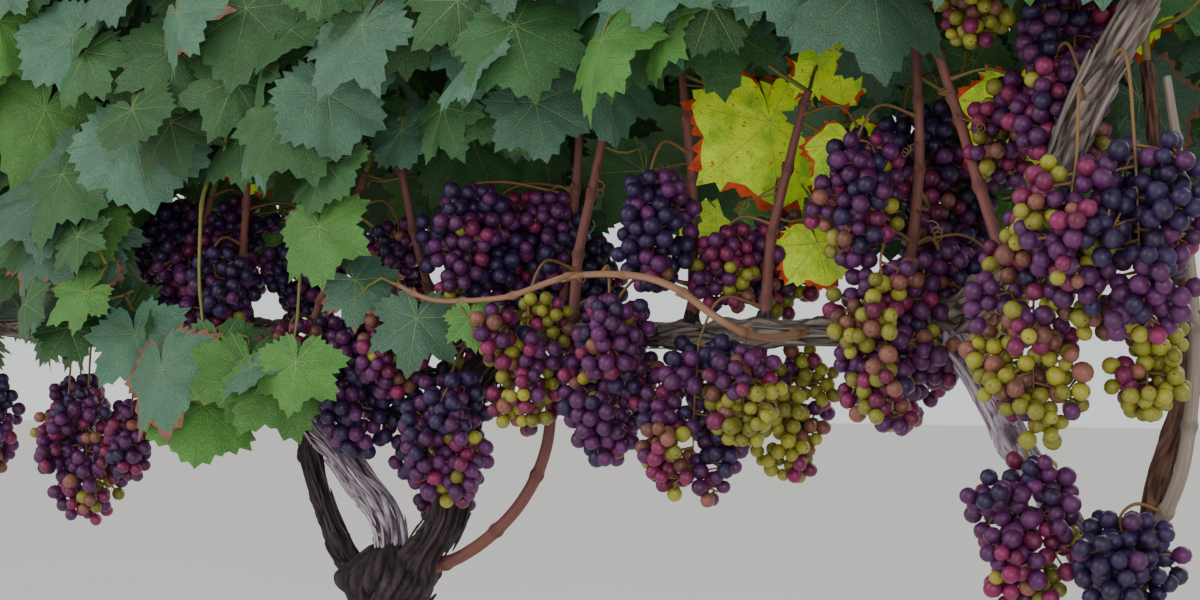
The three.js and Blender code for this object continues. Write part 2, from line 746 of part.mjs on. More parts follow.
// Each node bears a leaf to either side, and the tip of the shoot bears one more.
function growLeaves(mass, shoot) {
  for (const band of shoot.bands) {
    for (const side of [-1, 1]) {
      const facing = shoot.facing ?? new THREE.Vector3(0, side, 0);
      const look = new THREE.Vector3(-side * facing.y, side * facing.x, 0).addScaledVector(facing, 0.6);
      growLeaf(mass, shoot, mass.skin.faceTowards(band, look));
    }
  }
  growLeaf(mass, shoot, shoot.tip);
}

// The stem of a mass starts clear of the tip of its cane and goes on in the same direction.
function startMass(skin, cane, stem, nodes) {
  const tangent = carriers[cane].getTangentAt(1);
  const start = carriers[cane].getPointAt(1).addScaledVector(tangent, GAP);
  const onward = start.clone().addScaledVector(tangent, 4 * CANE_RADIUS);
  const curve = limbCurve([start.toArray(), onward.toArray(), ...stem]);
  const radius = taper(CANE_TIP_RADIUS, CANE_TIP_RADIUS - 1);
  const hint = start.clone().add(new THREE.Vector3(1, 0, 0));
  const rim = skin.addPoints(ringPoints(start, tangent, radius(0), hint));
  skin.addFace(rim[0], rim[2], rim[1]);
  const shares = Array.from({ length: nodes }, (unused, index) => (
    THREE.MathUtils.lerp(...STEM_NODES, index / (nodes - 1))));
  return { ...drawShoot(skin, rim, curve, shares, radius), solid: shootSolid(curve, radius) };
}

function growMass({ name, cane, stem, nodes, seed, finish, ...rule }) {
  THREE.MathUtils.seededRandom(seed);
  const skin = new Skin();
  const main = { ...startMass(skin, cane, stem, nodes), facing: rule.facing };
  const mass = { ...rule, skin, solids: [main.solid], shoots: [main] };
  if (rule.reach) {
    main.bands.forEach((band, index) => {
      const side = index % 2 === 0 ? -1 : 1;
      growTwig(mass, band, side * (0.5 * Math.PI + between(-TWIG_FAN, TWIG_FAN)));
    });
  }
  mass.shoots.slice(1).forEach((shoot) => growLeaves(mass, shoot));
  growLeaves(mass, main);
  const solid = skin.toSolid();
  place(name, solid, solid, finish);
}

// The masses of the canopy stand side by side, each over its own cane and from its own height.
const CANOPY = [
  { cane: 'cane_1', floor: 900 },
  { cane: 'cane_2', floor: 940 },
  { cane: 'cane_4', floor: 1000 },
  { cane: 'cane_6', floor: 1010 },
  { cane: 'head_cane', floor: 1060 },
  { cane: 'cane_8', floor: 1100 },
  { cane: 'cane_11', floor: 1130 },
  { cane: 'right_low_stem', floor: 1130 },
];

function canopy() {
  const width = (CANOPY_RIGHT - CANOPY_LEFT) / CANOPY.length;
  CANOPY.forEach(({ cane, floor }, index) => {
    const left = CANOPY_LEFT + index * width;
    const middle = left + 0.5 * width;
    const top = CANOPY_TOP + CANOPY_WAVE * Math.sin(1.7 * index + 0.6);
    const tip = carriers[cane].getPointAt(1);
    const rise = top - tip.z;
    const isEnd = index === 0 || index === CANOPY.length - 1;
    growMass({
      name: `leaves_${index + 1}`,
      cane,
      stem: [
        [THREE.MathUtils.lerp(tip.x, middle, 0.4), 0.5 * tip.y, tip.z + 0.3 * rise],
        [middle + 16, -12, tip.z + 0.62 * rise],
        [middle - 8, 8, top - 25],
      ],
      space: {
        min: [Math.max(left - CELL_OVERLAP, CANOPY_LEFT), -CANOPY_DEPTH, floor],
        max: [Math.min(left + width + CELL_OVERLAP, CANOPY_RIGHT), CANOPY_DEPTH, top],
      },
      crowned: true,
      nodes: CANOPY_NODES,
      reach: TWIG_REACH,
      roundness: isEnd ? 1 : 0.3,
      leafLength: LEAF_LENGTH,
      sideways: CANOPY_STALK_TURN,
      seed: CANOPY_SEED + index,
      finish: DEEP_LEAF,
    });
  });
}

// Lower leaves hang in front of the bunches on the left, and small ones from the arched cane.
const LOW_LEAVES = [
  {
    name: 'low_leaves_left', cane: 'cane_3', leafLength: LOW_LEAF_LENGTH,
    x: [-470, -262], z: [860, 1130],
    stem: [[-392, -90, 1096], [-362, -122, 1040], [-340, -124, 960]],
  },
  {
    name: 'low_leaves_middle', cane: 'cane_5', leafLength: LOW_LEAF_LENGTH,
    x: [-258, -92], z: [740, 1110],
    stem: [[-190, -92, 1082], [-176, -122, 1000], [-160, -126, 870]],
  },
  {
    name: 'low_leaves_centre', cane: 'cane_7', leafLength: LOW_LEAF_LENGTH,
    x: [-90, 80], z: [740, 1110],
    stem: [[8, -92, 1090], [-14, -124, 1000], [-36, -126, 870]],
  },
  {
    name: 'arched_cane_leaves', cane: 'arched_cane', leafLength: SMALL_LEAF_LENGTH,
    x: [-10, 200], z: [840, 1010],
    stem: [[70, -106, 962], [52, -112, 952], [36, -116, 930]],
  },
];

function lowLeaves() {
  LOW_LEAVES.forEach(({ x, z, ...mass }, index) => {
    growMass({
      ...mass,
      space: { min: [x[0], -CANOPY_DEPTH, z[0]], max: [x[1], -40, z[1]] },
      nodes: LOW_NODES,
      sideways: LOW_STALK_TURN,
      facing: new THREE.Vector3(0, -1, 0),
      seed: LOW_SEED + index,
      finish: FRESH_LEAF,
    });
  });
}

trunk();
leftArms();
rightArm();
cordon('left_cordon', [-190, CORDON_HEIGHT + 7], [LEFT_TIP, CORDON_HEIGHT + 20]);
cordon('right_cordon', [182, CORDON_HEIGHT], [RIGHT_TIP, CORDON_HEIGHT + 1]);
rightEnd();
canes();
longCanes();
bunches();
lowLeaves();
canopy();

export default vine;
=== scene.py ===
"""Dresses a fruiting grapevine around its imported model: bark, canes, bunches and leaves.

Lengths in this file are millimetres in the model's own frame: X runs along the row, Z is up and
the trunk stands at the origin. A mesh takes them in metres. Each surface is worked out as whole
arrays.
"""

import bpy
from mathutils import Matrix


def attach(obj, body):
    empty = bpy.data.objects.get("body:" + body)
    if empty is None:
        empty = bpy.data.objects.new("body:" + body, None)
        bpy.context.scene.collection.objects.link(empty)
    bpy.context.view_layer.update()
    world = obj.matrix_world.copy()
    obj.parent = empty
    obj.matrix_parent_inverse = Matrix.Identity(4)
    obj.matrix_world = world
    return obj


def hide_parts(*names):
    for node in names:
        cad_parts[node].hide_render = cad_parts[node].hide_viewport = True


bl_info = {
    "name": "Grapevine",
    "version": (1, 0, 0),
    "blender": (4, 5, 0),
    "location": "3D View > Sidebar > Vine",
    "description": "Grows a fruiting grapevine around the solids of its model",
    "category": "Add Mesh",
}

import math

import bpy
import numpy as np
from mathutils import Euler, Vector

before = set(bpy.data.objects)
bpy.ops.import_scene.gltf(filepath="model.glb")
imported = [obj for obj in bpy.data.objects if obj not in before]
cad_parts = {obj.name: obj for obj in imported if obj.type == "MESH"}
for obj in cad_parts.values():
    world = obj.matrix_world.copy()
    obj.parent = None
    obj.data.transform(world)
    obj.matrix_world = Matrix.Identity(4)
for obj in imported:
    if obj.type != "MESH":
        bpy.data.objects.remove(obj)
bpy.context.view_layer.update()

MM = 0.001
BODY = "root"
FULL_TURN = 2 * math.pi

# Seeds of the random draws.
SEEDS = {
    "trunk": 5, "old_wood": 40, "shreds": 77, "canes": 11, "bunches": 500, "leaves": 31, "tendrils": 8,
}


# Settings that a user would change.


def light_of(code):
    """The linear light of a colour that is written as on a screen, 0xRRGGBB."""
    parts = np.array([(code >> shift) & 255 for shift in (16, 8, 0)]) / 255
    light = np.where(parts <= 0.04045, parts / 12.92, ((parts + 0.055) / 1.055) ** 2.4)
    return tuple(float(part) for part in light)


def colour(name, description, code):
    """A setting for a colour, with a colour on a screen as its default."""
    return bpy.props.FloatVectorProperty(
        name=name, description=description, default=light_of(code), subtype="COLOR", size=3, min=0, max=1
    )


def length(name, description, millimetres):
    """A setting for a length, whose default is given in millimetres and kept in metres."""
    return bpy.props.FloatProperty(
        name=name, description=description, default=millimetres * MM, min=0, unit="LENGTH"
    )


def share(name, description, default):
    """A setting from 0 to 1."""
    return bpy.props.FloatProperty(
        name=name, description=description, default=default, min=0, max=1, subtype="FACTOR"
    )


def angle(name, description, degrees):
    """A setting for an angle, whose default is given in degrees and kept in radians."""
    return bpy.props.FloatProperty(
        name=name, description=description, default=math.radians(degrees), subtype="ANGLE"
    )


class VineWood(bpy.types.PropertyGroup):
    """Bark and canes."""

    furrow: length("Furrow depth", "How deep the furrows of the trunk's bark are", 6.5)
    strip: length("Bark strip", "Width of one peeling strip of bark", 11.0)
    dark_ridge: colour("Dark bark ridge", "Colour on the ridges of the dark bark", 0x4A3E42)
    dark_furrow: colour("Dark bark furrow", "Colour in the furrows of the dark bark", 0x171011)
    pale_ridge: colour("Pale bark ridge", "Colour on the ridges of the pale peeling bark", 0xCDBDCE)
    pale_furrow: colour("Pale bark furrow", "Colour in the furrows of the pale peeling bark", 0x3A2C33)
    grey_ridge: colour("Grey bark ridge", "Colour on the ridges of the level arms", 0x9A8E86)
    grey_furrow: colour("Grey bark furrow", "Colour in the furrows of the level arms", 0x2F2522)
    red_cane: colour("Red cane", "Colour of this year's upright canes", 0x784A46)
    tan_cane: colour("Tan cane", "Colour of the arched cane and of the tendrils", 0x8C6850)
    green_shoot: colour("Green shoot", "Colour of the green shoots and leaf stalks", 0x74753A)


class VineLeaves(bpy.types.PropertyGroup):
    """The canopy."""

    blade: length("Leaf length", "Length of a full-grown leaf from its stalk to its tip", 74.0)
    fold: share("Fold", "How far the two halves of a blade fall away from its midrib", 0.2)
    # Deep green holds painted shade and grey green a painted reflection of the sky: the leaf green as it
    # looks in shade and under the sky, dealt to leaves wherever they hang.
    deep: colour("Deep green", "Colour of the shaded leaves", 0x2A5A2C)
    grey: colour("Grey green", "Colour of the leaves that catch the sky", 0x44705A)
    fresh: colour("Fresh green", "Colour of the young leaves", 0x488232)
    turning: colour("Turning leaf", "Colour of the leaves that turn yellow", 0xBEDC28)
    margin: colour("Turned margin", "Colour of the dry red margins of turning leaves", 0xB4401E)
    dry: colour("Dry margin", "Colour of the dry margins of the oldest green leaves", 0x6B4638)
    vein: colour("Vein", "Colour of the veins", 0x8FA866)


class VineBerries(bpy.types.PropertyGroup):
    """The bunches."""

    berry: length("Berry", "Diameter of a ripe berry", 16.0)
    bloom: share("Bloom", "How much of the wax bloom covers a berry", 0.42)
    blue: colour("Blue berry", "Colour of the ripest berries", 0x1C0C32)
    purple: colour("Purple berry", "Colour of the purple berries", 0x451242)
    rose: colour("Rose berry", "Colour of the berries that turn from rose to purple", 0x661540)
    amber: colour("Amber berry", "Colour of the berries that begin to turn", 0x6C4236)
    green: colour("Green berry", "Colour of the unripe berries", 0x7C7824)


class VineStage(bpy.types.PropertyGroup):
    """Camera, floor and light."""

    azimuth: angle("Azimuth", "Angle from which the row is seen", 37)
    pitch: angle("Pitch", "How far the camera looks up", 1.85)
    floor: colour("Floor", "Colour of the floor", 0xDDDAD4)
    key: bpy.props.FloatProperty(
        name="Key light", description="Power of the main light", default=92, unit="POWER"
    )


# Materials.

# Strength of the faint painted glow of leaves that turn, which stands in for light shining through them.
PAINTED_GLOW = 0.22


class Value:
    """A node's socket. Sums written on it add the Math nodes that work them out."""

    def __init__(self, paint, socket):
        self.paint = paint
        self.socket = socket

    def sum(self, operation, *values):
        """What a Math node of that operation makes of the values."""
        return self.paint.node("ShaderNodeMath", {"operation": operation}, values)

    def __add__(self, other):
        return self.sum("ADD", self, other)

    def __sub__(self, other):
        return self.sum("SUBTRACT", self, other)

    def __rsub__(self, other):
        return self.sum("SUBTRACT", other, self)

    def __mul__(self, other):
        return self.sum("MULTIPLY", self, other)

    __radd__ = __add__
    __rmul__ = __mul__

    def folded(self, half):
        """The value that runs up to half and back down again, over and over."""
        return self.sum("PINGPONG", self, half)

    def held(self):
        """The value kept between 0 and 1."""
        return self.paint.node("ShaderNodeClamp", {}, (self,))


class Paint:
    """A material and the nodes that are added to it."""

    def __init__(self, name, roughness=0.5, specular=0.5):
        self.material = bpy.data.materials.new(name)
        self.material.use_nodes = True
        self.tree = self.material.node_tree
        self.shader = self.tree.nodes["Principled BSDF"]
        self.shader.inputs["Roughness"].default_value = roughness
        self.shader.inputs["Specular IOR Level"].default_value = specular
        self.place = self.node("ShaderNodeTexCoord", output="Object")

    def node(self, kind, settings=(), inputs=(), output=0):
        """Adds a node and gives one of its outputs. Its inputs are told in order, or by name or number."""
        made = self.tree.nodes.new(kind)
        for key, value in dict(settings).items():
            setattr(made, key, value)
        for key, value in inputs.items() if isinstance(inputs, dict) else enumerate(inputs):
            self.feed(made.inputs[key], value)
        return Value(self, made.outputs[output])

    def feed(self, socket, value):
        """Links a value to a socket, or sets a constant on the socket itself."""
        if isinstance(value, Value):
            self.tree.links.new(value.socket, socket)
        else:
            socket.default_value = value

    def stretched(self, vector, scales):
        """The vector times a scale on each axis."""
        return self.node("ShaderNodeVectorMath", {"operation": "MULTIPLY"}, (vector, scales))

    def noise(self, vector, scale, detail, roughness=0.5):
        """Cloudy noise from 0 to 1, with `scale` clouds to each unit of the vector."""
        inputs = {"Vector": vector, "Scale": scale, "Detail": detail, "Roughness": roughness}
        return self.node("ShaderNodeTexNoise", {}, inputs)

    def held_as(self, name, output="Fac"):
        """A number, or with the output Vector a vector, that the mesh holds for each point."""
        return self.node("ShaderNodeAttribute", {"attribute_name": name}, output=output)

    def mix(self, factor, first, second):
        """The first colour at factor 0, the second at 1, and a blend between them."""
        return self.node("ShaderNodeMix", {"data_type": "RGBA"}, {0: factor, 6: first, 7: second}, output=2)

    def colours(self, value):
        self.feed(self.shader.inputs["Base Color"], value)

    def paints_glow(self, value):
        """Adds a faint painted glow of that colour: the surface gives light, though it is no lamp."""
        self.feed(self.shader.inputs["Emission Color"], value)
        self.shader.inputs["Emission Strength"].default_value = PAINTED_GLOW

    def roughens(self, value):
        self.feed(self.shader.inputs["Roughness"], value)

    def bumps(self, height, distance):
        """Tilts the surface as if heights from 0 to 1 stood out by up to the distance in metres."""
        bump = self.node("ShaderNodeBump", {}, {"Strength": 1.0, "Distance": distance, "Height": height})
        self.feed(self.shader.inputs["Normal"], bump)


def opaque(light, strength=1.0):
    """A colour of a settings group as a shader takes it, made darker or lighter."""
    return (*(min(1.0, part * strength) for part in light), 1.0)


def bark_paint(name, ridge, furrow, fibre=0.9):
    """Fibres run along the grain. Furrows are dark, ridges pale, and blotches of grey lie over both."""
    paint = Paint(name, roughness=0.9, specular=0.25)
    grain = paint.held_as("grain", "Vector")
    fibres = paint.noise(paint.stretched(grain, (420, 420, 16)), 1.0, 5.0, 0.6)
    broad = paint.noise(paint.stretched(grain, (70, 70, 9)), 1.0, 3.0)
    blotch = paint.noise(paint.place, 24, 3.0)
    height = (paint.held_as("relief") * 0.8 + (fibres - 0.5) * fibre + (broad - 0.5) * 0.7).held()
    tone = paint.mix(height, opaque(furrow), opaque(ridge))
    aged = paint.mix((blotch * 2.6 - 1.1).held() * 0.4, tone, opaque(np.mean([ridge, furrow], axis=0), 0.9))
    paint.colours(aged)
    paint.roughens(0.95 - 0.2 * height)
    fine = paint.noise(paint.stretched(grain, (900, 900, 60)), 1.0, 2.0)
    paint.bumps(fibres * 0.8 + fine * 0.35, 1.6 * MM)
    return paint.material


def cane_paint(name, skin, node_shade=0.55, shine=0.58):
    """Ripe canes are streaked along the grain, and darker at their nodes, which hold relief 1."""
    paint = Paint(name, roughness=shine, specular=0.25)
    grain = paint.held_as("grain", "Vector")
    streaks = paint.noise(paint.stretched(grain, (520, 520, 14)), 1.0, 4.0, 0.6)
    clouds = paint.noise(paint.place, 16, 2.0)
    tone = paint.mix((streaks * 1.8 - 0.4).held(), opaque(skin, 0.5), opaque(skin, 1.25))
    tone = paint.mix((clouds * 2.2 - 0.8).held() * 0.3, tone, opaque(light_of(0x54433A)))
    paint.colours(paint.mix(paint.held_as("relief") * node_shade, tone, opaque(skin, 0.35)))
    paint.roughens(shine + 0.25 * streaks)
    paint.bumps(streaks, 0.5 * MM)
    return paint.material


def leaf_paint(name, green, vein, contrast=0.4, shade=0.75, shine=0.42, patch=None):
    """Blades are clouded and each has its own tone. A main vein shows where the distance to the
    nearest one, held in rib's second number, is under its width, which shrinks along it. Side veins
    leave it at a slant: they are lines of an equal difference between the two numbers. A net of
    cells lies between them. A leaf that turns has patches that are still green, and rusty spots, and
    a faint painted glow of its own colour, which stands in for the light that shines through it."""
    paint = Paint(name, roughness=shine, specular=0.4)
    clouds = paint.noise(paint.place, 42, 3.0)
    mottle = paint.noise(paint.place, 260, 3.0, 0.6)
    rib = paint.held_as("rib", "Vector")
    along, aside = (paint.node("ShaderNodeSeparateXYZ", {}, (rib,), number) for number in (0, 1))
    main = ((0.95 - 0.008 * along - aside) * 2.2).held()
    slanted = (along - 1.05 * aside + 0.006 * aside * aside + 1.5 * clouds).folded(4.6)
    side = ((0.42 - slanted) * 3.0).held() * (1.0 - 0.018 * aside).held()
    net = paint.node(
        "ShaderNodeTexVoronoi", {"feature": "DISTANCE_TO_EDGE"}, {"Vector": paint.place, "Scale": 330}
    )
    cell = (net * 7.0).held()
    tone = paint.mix((clouds * 1.6 - 0.3).held(), opaque(green, 0.6), opaque(green, 1.2))
    tone = paint.mix((mottle * 2 - 0.7).held() * 0.3, tone, opaque(green, 1.5))
    tone = paint.mix(paint.held_as("tone") * shade, tone, opaque(green, 0.38))
    tone = paint.mix((1.0 - cell) * 0.12, tone, opaque(vein, 0.7))
    if patch is not None:
        patches = paint.noise(paint.place, 30, 4.0, 0.6)
        tone = paint.mix(((patches - 0.5) * 8).held() * 0.75, tone, opaque(patch))
        spots = paint.noise(paint.place, 170, 3.0, 0.55)
        tone = paint.mix(((spots - 0.62) * 12).held() * 0.85, tone, opaque(light_of(0xA8481C)))
    veins = (main + 0.4 * side).held()
    blade = paint.mix(veins * contrast, tone, opaque(vein))
    paint.colours(blade)
    if patch is not None:
        # Painted glow: a turning leaf gives a faint light of its own colour, in place of light shining
        # through it.
        paint.paints_glow(blade)
    paint.roughens(shine + 0.22 * mottle)
    paint.bumps(0.35 * cell + 0.7 * mottle - 0.9 * veins, 1.2 * MM)
    return paint.material


def margin_paint(name, skin):
    """Dry margins are crumpled and blotched from red to brown."""
    paint = Paint(name, roughness=0.75, specular=0.3)
    blotch = paint.noise(paint.place, 120, 4.0, 0.6)
    paint.colours(paint.mix((blotch * 2 - 0.5).held(), opaque(skin, 0.5), opaque(skin, 1.6)))
    paint.bumps(blotch, 1.2 * MM)
    return paint.material


def berry_paint(name, skin, bloom, amount, shine=0.34):
    """A thin wax bloom lies in clouds over the skin. Where it is rubbed off the berry is shinier. A
    brown scar marks the tip, where the mesh holds 1."""
    paint = Paint(name, roughness=shine, specular=0.32)
    clouds = paint.noise(paint.place, 95, 3.0, 0.55)
    wipes = paint.noise(paint.place, 300, 2.0)
    cover = ((clouds * 1.7 + wipes * 0.6 - 0.75) * (2 * amount)).held()
    tone = paint.mix(paint.held_as("tone"), opaque(skin, 0.55), opaque(skin, 1.35))
    tone = paint.mix(cover * 0.55, tone, opaque(bloom))
    scar = ((paint.held_as("scar") - 0.72) * 8.0).held()
    paint.colours(paint.mix(scar, tone, opaque(light_of(0x3A2A1E))))
    paint.roughens(shine + 0.3 * cover)
    paint.bumps(clouds, 0.2 * MM)
    return paint.material


def floor_paint(name, ground):
    """A matt floor with hardly visible clouds."""
    paint = Paint(name, roughness=0.85, specular=0.2)
    clouds = paint.noise(paint.place, 0.7, 2.0)
    paint.colours(paint.mix(clouds, opaque(ground, 0.96), opaque(ground, 1.04)))
    return paint.material


# Meshes.


class Sheaf:
    """Shapes of one kind that are joined to one mesh: points, faces, and values for each point."""

    def __init__(self):
        self.points = []
        self.faces = {3: [], 4: []}
        self.values = {}
        self.count = 0

    def add(self, points, faces, **values):
        """Takes in points, arrays of three-cornered or four-cornered faces between them, and values."""
        points = np.asarray(points, float).reshape(-1, 3)
        for corners in faces:
            self.faces[corners.shape[-1]].append(corners.reshape(-1, corners.shape[-1]) + self.count)
        for name, value in values.items():
            self.values.setdefault(name, []).append(value)
        self.points.append(points)
        self.count += len(points)

    def piece(self, name, material, slot, nodes=()):
        """Makes the mesh in metres, and a piece of the body that replaces the nodes. The slot is not used."""
        mesh = bpy.data.meshes.new(name)
        points = np.concatenate(self.points) * MM
        mesh.vertices.add(len(points))
        mesh.vertices.foreach_set("co", points.ravel())
        groups = [np.concatenate(parts) for parts in self.faces.values() if parts]
        corners = np.concatenate([group.ravel() for group in groups])
        sizes = np.concatenate([np.full(len(group), group.shape[1]) for group in groups])
        mesh.loops.add(len(corners))
        mesh.loops.foreach_set("vertex_index", corners.astype(np.int32))
        mesh.polygons.add(len(sizes))
        mesh.polygons.foreach_set("loop_start", (np.cumsum(sizes) - sizes).astype(np.int32))
        mesh.polygons.foreach_set("use_smooth", np.ones(len(sizes), bool))
        for key, parts in self.values.items():
            value = np.concatenate(parts).astype(np.float32)
            kind, field = ("FLOAT_VECTOR", "vector") if value.ndim == 2 else ("FLOAT", "value")
            mesh.attributes.new(key, kind, "POINT").data.foreach_set(field, value.ravel())
        mesh.update(calc_edges=True)
        mesh.materials.append(material)
        made = bpy.data.objects.new(name, mesh)
        bpy.context.scene.collection.objects.link(made)
        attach(made, BODY)
        if nodes:
            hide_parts(*nodes)


def run_of(curve):
    """Distance along a curve at each of its places."""
    return np.concatenate([[0], np.cumsum(np.linalg.norm(np.diff(curve, axis=0), axis=1))])


def places_at(curve, run, wanted):
    """The places of a curve at the wanted runs along it."""
    return np.stack([np.interp(wanted, run, curve[:, axis]) for axis in range(3)], axis=-1)


def lined_up(points, count):
    """A smooth curve through the points, as `count` places evenly spaced by length. Between two
    points it is a cubic with the slopes of a centripetal Catmull-Rom curve, whose knots are spaced
    by the square root of the distance."""
    points = np.asarray(points, float)
    ends = [2 * points[0] - points[1], 2 * points[-1] - points[-2]]
    knots = np.vstack([ends[0], points, ends[1]])
    steps = np.sqrt(np.linalg.norm(np.diff(knots, axis=0), axis=1))[:, None]
    before, here, there, after = knots[:-3], knots[1:-2], knots[2:-1], knots[3:]
    one, two, three = steps[:-2], steps[1:-1], steps[2:]
    leaving = (here - before) / one - (there - before) / (one + two) + (there - here) / two
    coming = (there - here) / two - (after - here) / (two + three) + (after - there) / three
    leaving, coming = leaving * two, coming * two
    along = np.linspace(0, 1, 60)[None, :, None]
    here, there, leaving, coming = (part[:, None] for part in (here, there, leaving, coming))
    square, cube = along**2, along**3
    dense = (
        here * (2 * cube - 3 * square + 1)
        + there * (3 * square - 2 * cube)
        + leaving * (cube - 2 * square + along)
        + coming * (cube - square)
    ).reshape(-1, 3)
    run = run_of(dense)
    return places_at(dense, run, np.linspace(0, run[-1], count))


def drawn(rng, *ranges):
    """A vector whose numbers are drawn out of their ranges. One that has no range stays as it is."""
    return np.array([rng.uniform(*part) if isinstance(part, tuple) else part for part in ranges], float)


def level(turn, rise=0):
    """The level direction at a turn from X. It may rise."""
    return np.array([math.cos(turn), math.sin(turn), rise])


def at_share(line, where):
    """The point of a line that lies at a share of its points."""
    return line[int(where * (len(line) - 1))]


def unit(vectors):
    """The vectors divided by their lengths."""
    return vectors / np.maximum(np.linalg.norm(vectors, axis=-1, keepdims=True), 1e-9)


def sections(curves):
    """Tangent, normal and binormal at each place of n curves. The first normal is square to the
    tangent, and each next one is the last one laid square to the new tangent."""
    tangents = unit(np.gradient(curves, axis=1))
    axis = np.eye(3)[np.argmin(np.abs(tangents[:, 0]), axis=1)]
    normals = np.empty_like(curves)
    normal = axis
    for place in range(curves.shape[1]):
        tangent = tangents[:, place]
        normal = unit(normal - np.sum(normal * tangent, axis=1, keepdims=True) * tangent)
        normals[:, place] = normal
    return tangents, normals, np.cross(tangents, normals)


# Orders of the corners that turn a quad and a triangle the other way round.
QUAD_BACK = [0, 3, 2, 1]
FAN_BACK = [0, 2, 1]


def ring_faces(rings, columns):
    """Quads between neighbouring rings of as many points each."""
    low = np.arange(rings - 1)[:, None] * columns
    side = np.arange(columns)[None]
    after = (side + 1) % columns
    quads = [low + side, low + after, low + after + columns, low + side + columns]
    return np.stack(quads, -1).reshape(-1, 4)


def fan_faces(middle, first, columns):
    """Triangles from a middle point to the ring that begins with the first one."""
    side = np.arange(columns)
    return np.stack([np.full(columns, middle), first + side, first + (side + 1) % columns], -1)


def repeated(faces, number, step):
    """The faces of one shape for a number of shapes whose points follow each other."""
    return faces[None] + (np.arange(number) * step)[:, None, None]


# How far along the grain the next rod of a call begins, so that no two are streaked alike.
GRAIN_STEP = 611.0


def add_rods(sheaf, curves, radii, sides, flat=1.0, relief=0.0):
    """Rods: a round section of the given radii carried along each curve. With flat below 1 the
    section is a strip, that much as thick as it is wide. The grain of a point is its place on the
    rod when it is laid straight."""
    curves = np.asarray(curves, float)
    number, rings = curves.shape[:2]
    shape = (number, rings, sides)
    radii = np.asarray(radii, float)
    radii = np.broadcast_to(radii.reshape(*radii.shape, *[1] * (3 - radii.ndim)), shape)
    turn = np.arange(sides) * FULL_TURN / sides
    _, normals, binormals = (part[:, :, None] for part in sections(curves))
    across = radii * np.cos(turn) * flat
    beside = radii * np.sin(turn)
    walls = curves[:, :, None] + across[..., None] * normals + beside[..., None] * binormals
    steps = np.linalg.norm(np.diff(curves, axis=1), axis=2)
    lengths = np.concatenate([np.zeros((number, 1)), np.cumsum(steps, axis=1)], axis=1)
    grain = np.stack([across, beside, np.broadcast_to(lengths[:, :, None], across.shape)], -1)
    grain[..., 2] += (np.arange(number) * GRAIN_STEP)[:, None, None]
    relief = np.broadcast_to(relief, shape)

    def whole(values, ends):
        return np.concatenate([values.reshape(number, rings * sides, -1), ends], axis=1)

    points = whole(walls, curves[:, [0, -1]])
    straight = whole(grain, grain[:, [0, -1]].mean(axis=2)).reshape(-1, 3)
    heights = whole(relief[..., None], relief[:, [0, -1]].mean(axis=2)[..., None]).ravel()
    foot = rings * sides
    fans = [fan_faces(foot, 0, sides)[:, FAN_BACK], fan_faces(foot + 1, foot - sides, sides)]
    faces = [repeated(part, number, foot + 2) for part in (ring_faces(rings, sides), np.concatenate(fans))]
    sheaf.add(points, faces, grain=straight * MM, relief=heights)


# The limbs. Their lines, radii and names are those of the model.

CORDON_HEIGHT = 905
HEAD_HEIGHT = 650
LEFT_TIP = -860
RIGHT_TIP = 647

PATHS = {
    "trunk": [(0, 0, -30), (4, 2, 140), (-14, -4, 330), (-24, 3, 520), (-10, 0, HEAD_HEIGHT + 45)],
    "left_arm": [
        (-8, 0, HEAD_HEIGHT + 5), (-20, 2, 712), (-62, 4, 753), (-92, 2, 785),
        (-126, 0, 812), (-152, 0, 868), (-200, 0, CORDON_HEIGHT + 9),
    ],
    "left_second_stem": [
        (-28, -4, HEAD_HEIGHT - 14), (-70, -8, 672), (-100, -10, 722), (-122, -6, 768), (-134, -2, 822),
    ],
    "right_arm": [
        (8, 0, HEAD_HEIGHT - 10), (38, -2, 684), (66, 0, 722), (80, 0, 780),
        (92, 0, 840), (128, 0, 884), (192, 0, CORDON_HEIGHT),
    ],
    "right_hanging_limb": [
        (RIGHT_TIP - 8, 0, CORDON_HEIGHT + 3), (672, -2, 872), (714, -4, 802),
        (760, -6, 740), (794, -10, 686), (812, -10, 668),
    ],
    "right_rising_arm": [
        (RIGHT_TIP - 2, 0, CORDON_HEIGHT + 9), (700, -22, 940), (762, -60, 992),
        (830, -104, 1092), (888, -124, 1168),
    ],
    "right_low_stem": [
        (806, -10, 674), (828, -6, 716), (838, 0, 781), (858, 8, 863),
        (850, 14, 960), (834, 10, 1052), (828, 6, 1130),
    ],
    "head_cane": [
        (34, 12, HEAD_HEIGHT + 14), (74, 16, 680), (112, 20, 704), (145, 26, 739), (171, 30, 790),
        (180, 32, 850), (196, 34, 980), (218, 26, 1110), (232, 14, 1220),
    ],
    "end_cane": [(832, -4, 730), (866, -20, 790), (880, -26, 880), (872, -24, 1000), (856, -20, 1110)],
    "arched_cane": [
        (505, 0, CORDON_HEIGHT), (492, -60, 900), (478, -104, 914), (430, -116, 945), (388, -114, 957),
        (312, -112, 957), (227, -110, 940), (142, -104, 939), (88, -100, 955),
    ],
}

# Root, tip and bow of each upright cane.
CANES = {
    "cane_1": ((-790, 0, 920), (-766, 12, 1010), 8),
    "cane_2": ((-610, 0, 918), (-552, -8, 1030), -8),
    "cane_3": ((-440, 0, 918), (-398, -34, 1092), 10),
    "cane_4": ((-325, 0, 916), (-306, 16, 1070), -6),
    "cane_5": ((-228, 0, 916), (-196, -34, 1080), -8),
    "cane_6": ((-152, 0, 868), (-62, 12, 1084), 14),
    "cane_7": ((86, 0, 820), (24, -30, 1086), -12),
    "cane_8": ((226, 0, 905), (306, 8, 1216), -14),
    "cane_9": ((372, 0, 908), (348, 14, 1180), 10),
    "cane_10": ((452, 0, 906), (496, 12, 1130), -10),
    "cane_11": ((598, 0, 904), (606, 16, 1170), 14),
    "cane_12": ((718, -30, 952), (634, -34, 1226), -12),
}

# How many places a limb's line has.
FINE = 400


